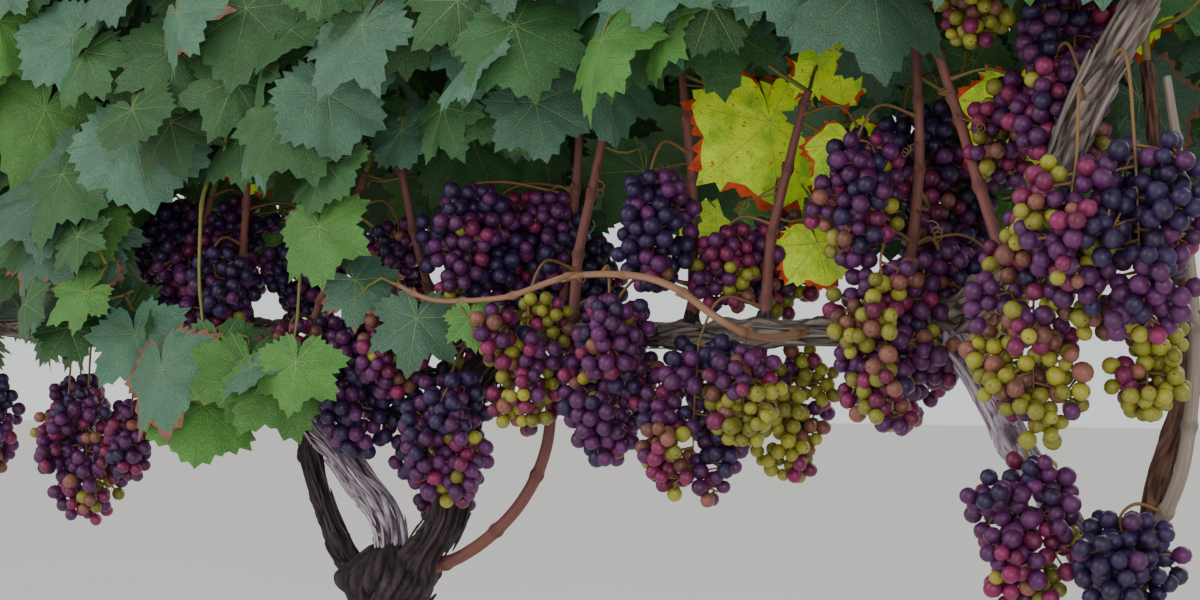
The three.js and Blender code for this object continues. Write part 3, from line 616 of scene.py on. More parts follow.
def cordon_path(start, end):
    """Seven points from start to end that wander by a sine of two waves."""
    along = np.linspace(0, 1, 7)
    wander = 3 * np.sin(2 * FULL_TURN * along)
    x = start[0] + (end[0] - start[0]) * along
    z = start[1] + (end[1] - start[1]) * along + 0.5 * wander
    return np.stack([x, wander, z], axis=1)


def cane_path(root, tip, bow):
    """Four points from root to tip, bowed by half a sine and leaning over towards the tip."""
    root, tip = np.array(root, float), np.array(tip, float)
    along = np.array([0, 0.3, 0.65, 1])
    sway = bow * np.sin(math.pi * along)
    path = root + (tip - root) * along[:, None]
    path[:, 0] = root[0] + (tip[0] - root[0]) * along**1.2 + sway
    path[:, 1] -= 0.5 * sway
    return path


PATHS["left_cordon"] = cordon_path((-190, CORDON_HEIGHT + 7), (LEFT_TIP, CORDON_HEIGHT + 20))
PATHS["right_cordon"] = cordon_path((182, CORDON_HEIGHT), (RIGHT_TIP, CORDON_HEIGHT + 1))
PATHS.update({name: cane_path(*cane) for name, cane in CANES.items()})
LINES = {name: lined_up(path, FINE) for name, path in PATHS.items()}


def place_on(name, where):
    """The place at a share of the way along a limb, and the limb's direction there."""
    line = LINES[name]
    index = where * (FINE - 1)
    near = int(min(FINE - 2, max(1, round(index))))
    return places_at(line, np.arange(FINE), index), unit(line[near + 1] - line[near - 1])


def bump(value, centre, spread):
    """A bell: e to the power of minus the square of the distance from its centre in spreads."""
    return np.exp(-(((value - centre) / spread) ** 2))


def taper(base, tip):
    """A radius that goes evenly from base to tip."""
    return lambda along: base + (tip - base) * along


def trunk_radius(along):
    """A waist of 29, a flare that dies away above the foot, a swollen head and a blunt crown."""
    flare = 33 * np.exp(-along / 0.11)
    head = 17 * bump(along, 0.945, 0.037)
    closing = np.maximum(0, along - 0.94) / 0.06
    return (29 + flare + head) * np.sqrt(np.maximum(0.12, 1 - closing**2))


def cordon_radius(name):
    """The radius of a level arm: a taper with a swelling under each spur."""
    line = LINES[name]
    ends = line[0, 0], line[-1, 0]
    spurs = np.array([(root[0] - ends[0]) / (ends[1] - ends[0]) for root, *_ in CANES.values()])
    spurs = spurs[(spurs > 0) & (spurs < 1)]
    return lambda along: 12 - 3 * along + 4 * bump(along[..., None], spurs, 0.03).sum(axis=-1)


# Bark.


def waves(rng, turn, along, number, crests, lengths):
    """A sum of waves that close round the limb: each has a whole number of crests round it and a
    length along it out of a range. Its usual size is about 1."""
    total = 0
    for _ in range(number):
        around = rng.integers(-crests, crests + 1)
        pitch = FULL_TURN / rng.uniform(*lengths)
        total = total + np.cos(around * turn + pitch * along + rng.uniform(0, FULL_TURN))
    return total / math.sqrt(0.5 * number)


# Length of a plate of bark.
PLATE_LENGTH = 62


def bark_height(rng, turn, along, girth, strip_width):
    """Height of the bark from 0 to 1. It is parted into strips that wander along the limb, and each
    strip into plates, each of its own height and lifted to one side, with a furrow between strips."""
    strips = max(5, round(girth / strip_width))
    place = strips * turn / FULL_TURN + 0.8 * waves(rng, turn, along, 7, 2, (70, 320))
    strip = np.floor(place).astype(int) % strips
    inside = place - np.floor(place)
    plates = 64
    offset = rng.uniform(0, 9, strips)[strip]
    plate = np.floor(along / PLATE_LENGTH + offset + 0.25 * inside).astype(int) % plates
    height = rng.uniform(0.15, 1, (strips, plates))[strip, plate]
    edge = np.clip(np.minimum(inside, 1 - inside) / 0.27, 0, 1)
    folds = 0.5 + 0.5 * np.tanh(1.5 * waves(rng, turn, along, 8, strips, (30, 110)))
    return np.clip(edge**0.6 * (0.55 * height * (0.5 + 0.5 * inside) + 0.45 * folds), 0, 1)


def add_bark(sheaf, line, radius, rng, depth, strip_width, side_step, ring_step, ridges=0, knots=()):
    """A limb with relief: its radius times one plus a few ridges that twist round it, plus the bark's
    height, less a crack wherever a sum of long waves crosses zero, plus a rounded knot wherever one
    is named as (share, turn, size, height). Returns how many points there are round the limb."""
    run = run_of(line)
    rings = max(8, int(run[-1] / ring_step))
    share_along = np.linspace(0, 1, rings)
    curve = places_at(line, run / run[-1], share_along)
    radii = radius(share_along)
    sides = int(np.clip(FULL_TURN * np.median(radii) / side_step, 14, 150))
    turn = np.arange(sides)[None] * FULL_TURN / sides
    along = share_along[:, None] * run[-1]
    height = bark_height(rng, turn, along, FULL_TURN * np.median(radii), strip_width)
    lumps = waves(rng, turn, along, 6, 3, (60, 200))
    twisted = 1 + ridges * np.cos(4 * turn + 5 * share_along[:, None])
    crack = 1 - np.abs(np.tanh(2.6 * waves(rng, turn, along, 8, 6, (90, 420))))
    height = np.clip(height - 0.75 * crack**3, 0, 1)
    surface = radii[:, None] * (twisted + 0.045 * lumps) + depth * (height - 0.5 - 0.5 * crack**2)
    for where, way, size, tall in knots:
        aside = np.mod(turn - way + math.pi, FULL_TURN) - math.pi
        apart = np.hypot(along - where * run[-1], radii[:, None] * aside)
        surface = surface + tall * np.exp(-((apart / size) ** 2))
    add_rods(sheaf, curve[None], surface[None], sides, relief=height[None])
    return sides


def rooted(line):
    """The line of a limb, drawn back 14 mm into what it grows from."""
    heading = unit(line[0] - line[6])
    back = line[0] + heading * np.linspace(14, 1.5, 6)[:, None]
    return np.vstack([back, line])


def collar(radius, total, share_of=0.35, reach=16.0):
    """A limb's radius with the collar at its root, which dies away within a few centimetres."""
    return lambda along: radius(along) * (1 + share_of * np.exp(-along * total / reach))


def pointed(radius, total, reach=6.0):
    """A radius that closes to a rounded tip: times the root of the distance from it in reaches."""
    return lambda along: radius(along) * np.sqrt(np.clip((1 - along) * total / reach, 0.04, 1))


# The old wood: each limb's radius, finish and slot.
OLD_WOOD = {
    "left_arm": (taper(16, 14), "pale", "pale_bark"),
    "left_second_stem": (taper(13, 10), "dark", "dark_bark"),
    "right_arm": (taper(21, 13), "dark", "dark_bark"),
    "right_hanging_limb": (taper(14, 10), "pale", "pale_bark"),
    "right_rising_arm": (taper(16, 12), "grey", "grey_bark"),
    "right_low_stem": (taper(12, 5.5), "brown", "dark_bark"),
    "left_cordon": (cordon_radius("left_cordon"), "grey", "grey_bark"),
    "right_cordon": (cordon_radius("right_cordon"), "grey", "grey_bark"),
}
# The limbs that close to a tip.
POINTED = ("left_cordon", "right_rising_arm", "right_low_stem")


def finish_of(context, key):
    """The material of a wood finish, made when it is first asked for."""
    wood = context.scene.vine_wood
    name = f"vine_{key}"
    makers = {
        "dark": lambda: bark_paint(name, wood.dark_ridge, wood.dark_furrow),
        "pale": lambda: bark_paint(name, wood.pale_ridge, wood.pale_furrow, 1.2),
        "grey": lambda: bark_paint(name, wood.grey_ridge, wood.grey_furrow, 1.1),
        "brown": lambda: bark_paint(name, light_of(0x7C5B4B), light_of(0x2C1A16), 0.8),
        "red": lambda: cane_paint(name, wood.red_cane),
        "tan": lambda: cane_paint(name, wood.tan_cane),
        "ash": lambda: cane_paint(name, light_of(0x8C8076)),
        "shoot": lambda: cane_paint(name, wood.green_shoot, 0.3),
        "stalk": lambda: cane_paint(name, light_of(0x7C5E3C), 0.3),
    }
    return bpy.data.materials.get(name) or makers[key]()


def add_shreds(sheaf, line, radius, rng, number, lengths=(30, 110), widths=(1.0, 3.2), lift=3.8):
    """Loose strips of bark: flat rods laid along a limb whose two ends curl away from it."""
    run = run_of(line)
    size = rng.uniform(*lengths, number)
    start = rng.uniform(0.02, 0.98, number) * run[-1]
    share_of = np.linspace(0, 1, 9)
    along = np.clip(start[:, None] + (share_of[None] - 0.5) * size[:, None], 0, run[-1])
    curve = places_at(line, run, along)
    _, normals, binormals = sections(line[None])
    nearest = np.clip(np.searchsorted(run, along), 0, len(run) - 1)
    turn = rng.uniform(0, FULL_TURN, number)[:, None] + rng.uniform(-0.5, 0.5, number)[:, None] * share_of
    out = np.cos(turn)[..., None] * normals[0][nearest] + np.sin(turn)[..., None] * binormals[0][nearest]
    curl = rng.uniform(0.1, 1, (number, 1)) * lift
    from_middle = np.abs(2 * share_of - 1)
    ends = curl * from_middle**3 * np.where(share_of > 0.5, 1, rng.uniform(0, 0.7, (number, 1)))
    reach = radius(along / run[-1]) + 1.2 + ends
    strand = curve + reach[..., None] * out
    strand[..., 2] -= 0.5 * ends
    width = rng.uniform(*widths, (number, 1)) * np.sqrt(np.clip(1 - from_middle**4, 0.06, 1))
    add_rods(sheaf, strand, width, 4, flat=0.28, relief=rng.uniform(0.4, 1, (number, 1, 1)))


# Canes.


# How far the swelling at a node spreads.
NODE_WIDTH = 4.2


def cane_line(line, rng, spacing, zigzag=1.3):
    """A cane's line with a slight zigzag from node to node, and the run of its nodes."""
    run = run_of(line)
    nodes = np.arange(rng.uniform(18, 34), run[-1] - 4, spacing)
    corners = np.concatenate([[0], nodes, [run[-1]]])
    offsets = zigzag * np.where(np.arange(len(corners)) % 2, 1, -1.0)
    offsets[[0, -1]] = 0
    _, normals, _ = sections(line[None])
    return line + np.interp(run, corners, offsets)[:, None] * normals[0], nodes


def spur_radius(along):
    """A spur is stout at its root and narrows towards its tip by a power of 1.5."""
    return 10.5 - 4.2 * along**1.5


def add_cane(sheaf, line, base, tip, rng, spacing, sides=12, swelling=2.2, ring_step=3.2, buds=True):
    """A cane: a thin tapering rod with a swelling at each node, which is relief 1. A bud is a small
    drop beside each node."""
    line, nodes = cane_line(line, rng, spacing)
    run = run_of(line)
    rings = max(6, int(run[-1] / ring_step))
    along = np.linspace(0, run[-1], rings)
    curve = places_at(line, run, along)
    near = bump(along[:, None], nodes[None], NODE_WIDTH).sum(axis=1)
    radii = base + (tip - base) * along / run[-1] + swelling * near * (base + tip) / (2 * base)
    add_rods(sheaf, curve[None], radii[None], sides, relief=near[None, :, None])
    if not buds or not len(nodes):
        return
    tangents, normals, _ = sections(curve[None])
    index = np.clip(np.searchsorted(along, nodes), 0, rings - 1)
    beside = normals[0][index] * np.where(np.arange(len(nodes)) % 2, 1, -1.0)[:, None]
    share_of = np.linspace(0, 1, 5)[None, :, None]
    drops = places_at(line, run, nodes)[:, None] + beside[:, None] * (base * 0.7 + 3.2 * share_of)
    drops = drops + tangents[0][index][:, None] * 6 * share_of
    add_rods(sheaf, drops, np.array([[2.4, 2.9, 2.4, 1.5, 0.4]]) * base / 6, 6, relief=0.6)


# Bunches. Each hangs from a share of a cane, or from a place in X on a level arm. A row goes on with
# its top, length, width, ripeness, and the size of its wing.

RIPENESS = {"green": 0.27, "amber": 0.38, "rose": 0.52, "plum": 0.62, "purple": 0.7, "blue": 0.9}
BUNCHES = [
    ("left_cordon", -648, (-640, -48, 866), 130, 84, "purple", 0),
    ("left_cordon", -462, (-446, -44, 846), 150, 100, "plum", 0.3),
    ("cane_3", 0.9, (-386, 48, 1064), 100, 74, "blue", 0),
    ("cane_5", 0.55, (-222, -60, 1000), 105, 78, "purple", 0),
    ("cane_5", 0.8, (-180, 46, 1036), 118, 84, "blue", 0),
    ("cane_7", 0.45, (-6, -62, 924), 140, 92, "blue", 0.2),
    ("head_cane", 0.72, (128, -48, 1052), 124, 92, "purple", 0),
    ("head_cane", 0.66, (160, 74, 1040), 136, 84, "blue", 0),
    ("right_arm", 0.83, (124, -62, 866), 128, 84, "purple", 0),
    ("cane_7", 0.1, (30, 42, 836), 130, 74, "blue", 0),
    ("cane_8", 0.2, (222, -60, 942), 132, 96, "amber", 0.3),
    ("cane_9", 0.62, (362, -54, 1052), 104, 78, "blue", 0),
    ("cane_9", 0.16, (322, -56, 930), 146, 92, "purple", 0.3),
    ("cane_10", 0.1, (424, -62, 898), 148, 104, "plum", 0.35),
    ("cane_10", 0.6, (434, 50, 1020), 100, 84, "rose", 0),
    ("right_cordon", 462, (455, 46, 892), 124, 82, "green", 0),
    ("cane_11", 0.72, (586, -52, 1076), 112, 84, "plum", 0),
    ("cane_11", 0.3, (612, -60, 968), 150, 98, "rose", 0.25),
    ("cane_11", 0.85, (604, 66, 1112), 190, 92, "purple", 0),
    ("right_rising_arm", 0.55, (792, -126, 1002), 190, 108, "amber", 0.3),
    ("right_rising_arm", 0.72, (780, -66, 1128), 108, 84, "plum", 0),
    ("right_rising_arm", 0.8, (882, -146, 1046), 152, 104, "blue", 0.3),
    ("end_cane", 0.6, (858, -84, 930), 96, 74, "green", 0),
    ("right_hanging_limb", 0.42, (750, -62, 798), 128, 88, "plum", 0.2),
]


# More bunches in the shade behind and beside those of the model, at the nearest limb above them: top,
# length, width, ripeness and wing.
SHADED_BUNCHES = [
    ((119, 24, 1051), 144, 92, "purple", 0.3),
    ((182, 20, 1046), 90, 70, "purple", 0),
    ((196, 66, 1000), 129, 84, "blue", 0),
    ((98, 34, 954), 114, 86, "rose", 0.2),
    ((66, -78, 936), 90, 70, "rose", 0),
    ((46, -10, 876), 124, 84, "blue", 0.2),
    ((252, 24, 931), 96, 74, "green", 0),
    ((352, -104, 936), 70, 76, "rose", 0.3),
    ((420, -10, 1004), 76, 66, "rose", 0),
    ((478, -70, 890), 84, 70, "amber", 0.3),
    ((529, 46, 1093), 100, 76, "purple", 0),
    ((636, 0, 977), 120, 84, "purple", 0.2),
    ((566, 66, 1108), 96, 70, "blue", 0),
    ((786, -46, 1190), 112, 78, "purple", 0.2),
    ((826, -50, 752), 84, 84, "blue", 0.3),
    ((-94, 34, 947), 124, 88, "purple", 0.2),
    ((-40, 40, 1030), 96, 76, "purple", 0),
    ((-283, 44, 1066), 115, 84, "purple", 0),
    ((-300, -20, 1020), 120, 84, "purple", 0.2),
    ((-423, 64, 1062), 107, 80, "blue", 0),
    ((-118, -44, 920), 104, 80, "rose", 0.2),
    ((-486, -40, 840), 84, 76, "rose", 0.3),
    ((666, 30, 976), 88, 70, "green", 0),
    ((852, -184, 1030), 96, 72, "rose", 0),
    ((712, -10, 1120), 90, 66, "rose", 0),
    ((-560, 40, 862), 84, 66, "purple", 0),
    ((-330, 44, 884), 104, 76, "purple", 0),
    ((240, 60, 908), 110, 76, "purple", 0),
    ((380, 56, 900), 112, 76, "blue", 0),
    ((560, 56, 930), 112, 76, "rose", 0),
    ((708, -60, 1206), 62, 60, "green", 0),
    ((-352, -60, 834), 84, 44, "purple", 0),
]


def bunch_list():
    """All bunches as root, top, length, width, ripeness, wing and the node that they belong to."""
    made = []
    for index, (carrier, where, top, depth, width, ripe, wing) in enumerate(BUNCHES):
        line = LINES[carrier]
        if carrier.endswith("cordon"):
            where = (where - line[0, 0]) / (line[-1, 0] - line[0, 0])
        made.append((place_on(carrier, where)[0], top, depth, width, ripe, wing, f"bunch_{index + 1:02d}"))
    wood = np.concatenate([line for name, line in LINES.items() if name != "trunk"])
    for top, depth, width, ripe, wing in SHADED_BUNCHES:
        above = wood[wood[:, 2] > top[2] + 2]
        root = above[np.argmin(np.linalg.norm(above - top, axis=1))]
        made.append((root, top, depth, width, ripe, wing, None))
    return made


def bunch_radius(down, turn, width, wing):
    """A cone that widens quickly below its top and narrows slowly, with a wing at its shoulder."""
    cone = down**0.35 * (1 - down) ** 0.55 / 0.545
    lobe = wing * np.maximum(0, np.cos(turn - 1.3 * math.pi)) ** 3 * bump(down, 0.2, 0.16)
    return 0.5 * width * (cone + lobe)


# The golden angle in radians, and how often berries that touch are pushed apart.
GOLDEN_ANGLE = 2.39996
PUSHES = 36


def settled_berries(rng, top, depth, width, wing, ripe, berry, others):
    """A bunch's berries, grown from side stalks that leave the middle one in a spiral of the golden
    angle, each about as long as the bunch is wide there. Berries sit along a side stalk from its
    middle to its tip. They are then pushed apart where they touch, a few dozen times, and those that
    would meet another bunch are left out. Each side stalk ripens at its own pace. Returns places,
    radii, ripeness, the side stalk of each berry, and the side stalks' roots and tips."""
    number = int(depth / (0.66 * berry)) + 3
    order = np.arange(number)
    down = 0.05 + 0.9 * (order + 0.5) / number
    turn = GOLDEN_ANGLE * order + rng.normal(0, 0.35, number)
    reach = bunch_radius(down, turn, width, wing) * rng.uniform(0.72, 1.22, number)
    roots = np.stack([np.zeros(number), np.zeros(number), -depth * np.maximum(0.01, down - 0.05)], axis=1)
    tips = np.stack([reach * np.cos(turn), reach * np.sin(turn), -depth * down - 0.12 * reach], axis=1)
    count = np.maximum(3, np.round(1.6 + reach / (0.33 * berry))).astype(int)
    holder = np.repeat(order, count)
    total = len(holder)
    along = rng.uniform(0.34, 1.0, total)
    places = roots[holder] + (tips - roots)[holder] * along[:, None] + rng.normal(0, 0.42 * berry, (total, 3))
    ripeness = ripe + rng.normal(0, 0.14, number)[holder] + rng.normal(0, 0.11, total)
    ripeness = ripeness - 0.2 * (down[holder] - 0.35)
    radii = 0.5 * berry * np.clip(0.8 + 0.22 * ripeness + rng.normal(0, 0.07, total), 0.5, 1.08)
    touching = radii[:, None] + radii[None]
    for _ in range(PUSHES):
        apart = places[:, None] - places[None]
        gap = np.linalg.norm(apart, axis=2) + 1e3 * np.eye(total)
        push = np.clip(0.97 * touching - gap, 0, None) / gap
        places = places + 0.42 * (push[..., None] * apart).sum(axis=1)
        down_now = np.clip(-places[:, 2] / depth, 0.03, 0.97)
        turn_now = np.arctan2(places[:, 1], places[:, 0])
        limit = np.maximum(bunch_radius(down_now, turn_now, width, wing) + 6 - 0.6 * radii, 1)
        across = np.hypot(places[:, 0], places[:, 1])
        places[:, :2] *= np.minimum(1, limit / np.maximum(across, 1e-6))[:, None]
        places[:, 2] = np.clip(places[:, 2], -depth + 0.4 * radii, -0.3 * radii)
    sway = rng.uniform(3, 8) * level(ripe * 40 + depth)
    places, roots, tips = (
        part + np.sin(-2.4 * part[:, 2:] / depth) * sway + top for part in (places, roots, tips)
    )
    kept = np.ones(total, bool)
    if len(others):
        gap = np.linalg.norm(places[:, None] - others[None, :, :3], axis=2)
        kept = np.all(gap > 0.86 * (radii[:, None] + others[None, :, 3]), axis=1)
    return places[kept], radii[kept], ripeness[kept], holder[kept], roots, tips


def add_berries(sheaf, places, radii, axes, rng, columns, rows):
    """Berries: spheres a little longer than wide, as a grid of columns and rows with one point at
    each pole. Their axis runs from the berry's stalk to its tip."""
    down = np.linspace(0, math.pi, rows + 1)[1:-1]
    turn = np.arange(columns) * FULL_TURN / columns
    wide, high = np.sin(down)[:, None], np.repeat(np.cos(down)[:, None], columns, axis=1)
    ring = np.stack([wide * np.cos(turn), wide * np.sin(turn), high], -1).reshape(-1, 3)
    ball = np.vstack([ring, [0, 0, 1], [0, 0, -1]])
    axes = -axes
    side = unit(np.cross(axes, [0.31, 0.9, 0.2]))
    over = np.cross(axes, side)
    longer = rng.uniform(1.0, 1.07, len(places))[:, None]
    scaled = radii[:, None, None] * ball[None]
    points = places[:, None] + scaled[..., :1] * side[:, None] + scaled[..., 1:2] * over[:, None]
    points = points + scaled[..., 2:] * (longer * axes)[:, None]
    pole = len(ring)
    fans = [fan_faces(pole, 0, columns), fan_faces(pole + 1, pole - columns, columns)[:, FAN_BACK]]
    shape = ring_faces(rows - 1, columns)[:, QUAD_BACK], np.concatenate(fans)
    tone = np.repeat(rng.uniform(0, 1, len(places)), len(ball))
    scar = np.tile(np.concatenate([np.zeros(len(ball) - 1), [1]]), len(places))
    sheaf.add(points, [repeated(part, len(places), len(ball)) for part in shape], tone=tone, scar=scar)


# Leaves.

# Directions of the main veins in degrees from the midrib. The outlines give the reach of a blade's
# rim at angles from the midrib, and the teeth how many of them lie between it and an angle. A tooth
# is as deep as that share of the blade's length.
VEINS = np.array([-150, -104, -50, 0, 50, 104, 150])
LOBED_OUTLINE = np.array([
    (0, 1.0), (13, 0.88), (27, 0.72), (38, 0.82), (50, 0.95), (64, 0.82), (78, 0.66), (92, 0.76),
    (104, 0.83), (120, 0.68), (134, 0.60), (150, 0.63), (166, 0.50), (174, 0.30), (180, 0.07),
])
ROUND_OUTLINE = np.array([
    (0, 0.93), (50, 0.9), (104, 0.79), (150, 0.64), (166, 0.54), (174, 0.33), (180, 0.07),
])
TEETH_TO = np.array([(0, 0), (50, 4), (104, 9), (150, 13), (180, 16)])
TOOTH = 0.085

# The box that no blade goes past: lowest and highest X, Y and Z.
LEAF_LIMITS = np.array([(-936, -237, 0), (992, 240, 1873)], float)


def leaf_grid():
    """The columns of a blade: two for each tooth of its rim, one at the tip of the tooth and one in
    the notch. Each main vein ends in a tooth. Returns the angles and whether each is a tip."""
    count = np.arange(-15.5, 16.01, 0.5)
    angle = np.sign(count) * np.interp(np.abs(count), TEETH_TO[:, 1], TEETH_TO[:, 0])
    return angle, np.mod(count, 1) == 0


def fitting_share(away, base):
    """How much of its size each blade keeps, so that no point of it passes the limits of the leaves:
    the least ratio of the room that its base has on a side to how far the blade goes there."""
    far = np.abs(np.stack([away.min(axis=1), away.max(axis=1)], axis=1))
    room = np.abs(LEAF_LIMITS - base[:, None])
    return np.where(far > room, room / np.maximum(far, 0.001), 1).min(axis=(1, 2))


def add_leaves(sheaf, leaves, rng, fold, shares, margin):
    """Blades. A point lies at its angle and reach from the meeting point of the veins, in the plane
    of the blade. The reach is a round leaf's, moved towards a lobed one's, and at the rim half a
    tooth more or less. Off that plane, both halves fall from the midrib, the blade bulges between its
    veins, its rim waves and curls down, and its tip droops. A margin takes some outer faces."""
    angle, tip = leaf_grid()
    shares = np.asarray(shares)
    number, rings, columns = len(leaves["base"]), len(shares), len(angle)
    size, widen, sag, cup, droop = (
        leaves[key][:, None, None] for key in ("size", "widen", "fold", "cup", "droop")
    )
    turn = np.radians(angle)[None, None]
    lobed = np.interp(np.abs(angle), *LOBED_OUTLINE.T)[None]
    rounded = np.interp(np.abs(angle), *ROUND_OUTLINE.T)[None]
    outline = rounded + leaves["lobing"][:, None] * (lobed - rounded)
    soft = np.clip((180 - np.abs(angle)) / 25, 0, 1)
    teeth = TOOTH * soft * np.where(tip, 0.5, -0.5) * rng.uniform(0.55, 1.45, (number, columns))
    reach = outline[:, None] * shares[None, :, None] + teeth[:, None] * (shares == 1)[None, :, None]
    along = size * reach * np.cos(turn)
    across = size * reach * np.sin(turn) * widen
    between = 1 - np.abs(np.interp(angle, VEINS, np.arange(len(VEINS))) % 1 - 0.5) * 2
    bulge = 0.085 * size * between * reach * (1.3 - reach)
    phase = rng.uniform(0, FULL_TURN, (4, number, 1, 1))
    rim = reach**3 * (np.sin(3 * turn + phase[0]) * 0.06 + np.sin(7 * turn + phase[1]) * 0.034)
    crumple = reach**2 * np.sin(13 * turn + phase[2]) * 0.018
    height = (
        bulge
        - fold * sag * np.abs(across)
        + size * (rim + crumple)
        - cup * size * reach**2
        - droop * size * np.clip(along / size, 0, None) ** 2
    )
    off = np.radians(angle - VEINS[np.abs(angle[:, None] - VEINS).argmin(axis=1)])

    def with_middle(*parts):
        rest = np.stack(np.broadcast_arrays(*parts), -1).reshape(number, -1, 3)
        return np.concatenate([np.zeros((number, 1, 3)), rest], axis=1)

    flat = with_middle(along, across, height)
    axes = [leaves[key][:, None] for key in ("ahead", "side", "face")]
    away = sum(flat[..., [place]] * axis for place, axis in enumerate(axes))
    kept = fitting_share(away, leaves["base"])[:, None, None]
    points = leaves["base"][:, None] + kept * away
    rib = with_middle(kept * size * reach * np.cos(off), kept * size * reach * np.abs(np.sin(off)), 0)
    per_leaf = rings * columns + 1
    fan, quads = (
        repeated(part, number, per_leaf)
        for part in (fan_faces(0, 1, columns), ring_faces(rings, columns)[:, QUAD_BACK] + 1)
    )
    values = {"rib": rib.reshape(-1, 3), "tone": np.repeat(leaves["tone"], per_leaf)}
    if margin is None:
        sheaf.add(points, (fan, quads), **values)
        return
    wander = np.sin(5 * turn[0] + phase[3, :, 0]) + np.sin(11 * turn[0] + phase[1, :, 0])
    dry = wander > rng.uniform(-1.4, 0.4, (number, 1))
    outer = quads[:, -columns:]
    sheaf.add(points, (fan, quads[:, :-columns], outer[~dry]), **values)
    margin.add(points, (outer[dry],), **values)


class Growth:
    """Shoots, leaf stalks and leaves as they grow, until they are made into meshes."""

    def __init__(self, seed):
        self.rng = np.random.default_rng(seed)
        self.shoots = []
        self.stalks = []
        self.leaves = {}
        self.taken = np.zeros((0, 4))
        self.wood = np.concatenate([line[::4] for line in LINES.values()])

    def add_shoot(self, line, base, tip):
        """Holds a shoot's line and radii. Others may grow from it."""
        self.shoots.append((line, base, tip))
        self.wood = np.vstack([self.wood, line])

    def keep_clear(self, spots, size):
        """No leaf's middle comes within about two thirds of the size of these places."""
        self.taken = np.vstack([self.taken, np.column_stack([spots, np.full(len(spots), size)])])

    def is_free(self, centre, size, space):
        """Whether a leaf about its middle fits into a space, and is far enough from each that is
        there: 0.36 times the sum of the two sizes."""
        low, high = space
        if np.any(centre - 0.55 * size < low) or np.any(centre + 0.55 * size > high):
            return False
        apart = np.linalg.norm(self.taken[:, :3] - centre, axis=1)
        return not np.any(apart < 0.36 * (self.taken[:, 3] + size))

    def add_leaf(self, kind, node, base, ahead, facing, size, droop=None):
        """Holds one leaf: its stalk from a node to its base, and its three directions."""
        rng = self.rng
        ahead = unit(ahead)
        side = unit(np.cross(facing, ahead))
        face = np.cross(ahead, side)
        leaf = {
            "base": base, "ahead": ahead, "side": side, "face": face, "size": size,
            "widen": rng.uniform(0.98, 1.16), "fold": rng.uniform(0.3, 1.7), "cup": rng.uniform(-0.05, 0.15),
            "droop": rng.uniform(0.02, 0.24) if droop is None else droop, "tone": rng.uniform(0, 1) ** 1.5,
            "lobing": rng.uniform(0.5, 1.5),
        }
        self.leaves.setdefault(kind, []).append(leaf)
        self.keep_clear((base + 0.4 * size * ahead)[None], size)
        apart = np.linalg.norm(node - base)
        bow = base - 0.42 * apart * ahead - 0.1 * apart * face + np.array([0, 0, 0.1 * apart])
        there = np.linspace(0, 1, 6)[:, None]
        back = 1 - there
        self.stalks.append(node * back**2 + 2 * bow * there * back + base * there**2)

    def hang_leaf(self, kind, middle, size, ahead, facing, droop=None):
        """Hangs a leaf at a place: a side shoot comes from the nearest wood to above the leaf's base,
        and the leaf's stalk leaves it there."""
        rng = self.rng
        ahead, facing = unit(ahead), unit(facing)
        base = middle - 0.4 * size * ahead
        node = base + size * (np.array([0, 0, 0.42]) - 0.3 * facing - 0.12 * ahead)
        node = node + rng.normal(0, 0.06 * size, 3)
        apart = np.linalg.norm(self.wood - node, axis=1) + 0.6 * np.maximum(0, self.wood[:, 2] - node[2])
        root = self.wood[np.argmin(apart)]
        reach = np.linalg.norm(node - root)
        if reach > 12:
            bend = root + 0.45 * (node - root) + np.array([0, 0, -0.16 * reach])
            bend = bend + rng.normal(0, 0.05 * reach, 3)
            self.add_shoot(lined_up([root, bend, node], 18), 1.5 + 0.006 * reach, 1.3)
        self.add_leaf(kind, node, base, ahead, facing, size, droop)

    def try_leaf(self, kind, node, look, facing, size, space, hang, sideways=0.9, tries=14):
        """Looks for a free place for a leaf whose stalk leaves a node, by the rule of the model."""
        rng = self.rng
        across = np.array([-facing[1], facing[0], 0.0])

        def lean(spread, forward, rise):
            return across * rng.uniform(-spread, spread) + facing * forward + np.array([0, 0, rise])

        for _ in range(tries):
            stalk = unit(look + lean(sideways, 1, rng.uniform(0.1, 0.4)))
            length_of = size * rng.uniform(0.75, 1.12)
            base = node + stalk * size * rng.uniform(0.4, 0.8)
            ahead = unit(lean(0.6, rng.uniform(0.15, 0.6), rng.uniform(*hang)))
            if self.is_free(base + 0.4 * length_of * ahead, length_of, space):
                self.add_leaf(kind, node, base, ahead, lean(0.35, 1, 0.6), length_of)
                return

    def fill(self, tries, space, blade, outward, gather=0.6, ragged=0):
        """Tries places at random in a space and hangs a leaf wherever there is room for one. A small
        `gather` brings them nearer to its front and back. The lower edge at the back goes up and
        down by `ragged`, in waves along the row. A leaf faces as `outward` tells, give or take, and
        points down, or out where it lies on top."""
        rng = self.rng
        low, high = space
        for _ in range(tries):
            across = rng.uniform(-1, 1, 3)
            across[1] = math.copysign(abs(across[1]) ** gather, across[1])
            middle = 0.5 * (low + high) + across * (0.5 * (high - low) - 0.5 * blade)
            size = blade * rng.uniform(0.6, 1.2)
            wave = math.sin(0.031 * middle[0]) * math.cos(0.011 * middle[0])
            edge = low[2] + 0.5 * size + ragged * (1 + wave)
            if not self.is_free(middle, size, space) or (middle[1] > 0 and middle[2] < edge):
                continue
            facing = unit(outward(middle) + drawn(rng, (-0.8, 0.8), 0, (-0.05, 0.75)))
            steep = 1 - 0.9 * min(1, max(0, facing[2] - 0.55) / 0.3)
            ahead = 0.45 * unit(facing * [1, 1, 0]) + drawn(rng, (-0.9, 0.9), 0, (-1.3, -0.4)) * [1, 1, steep]
            self.hang_leaf(kind_of(rng, middle), middle, size, ahead, facing)

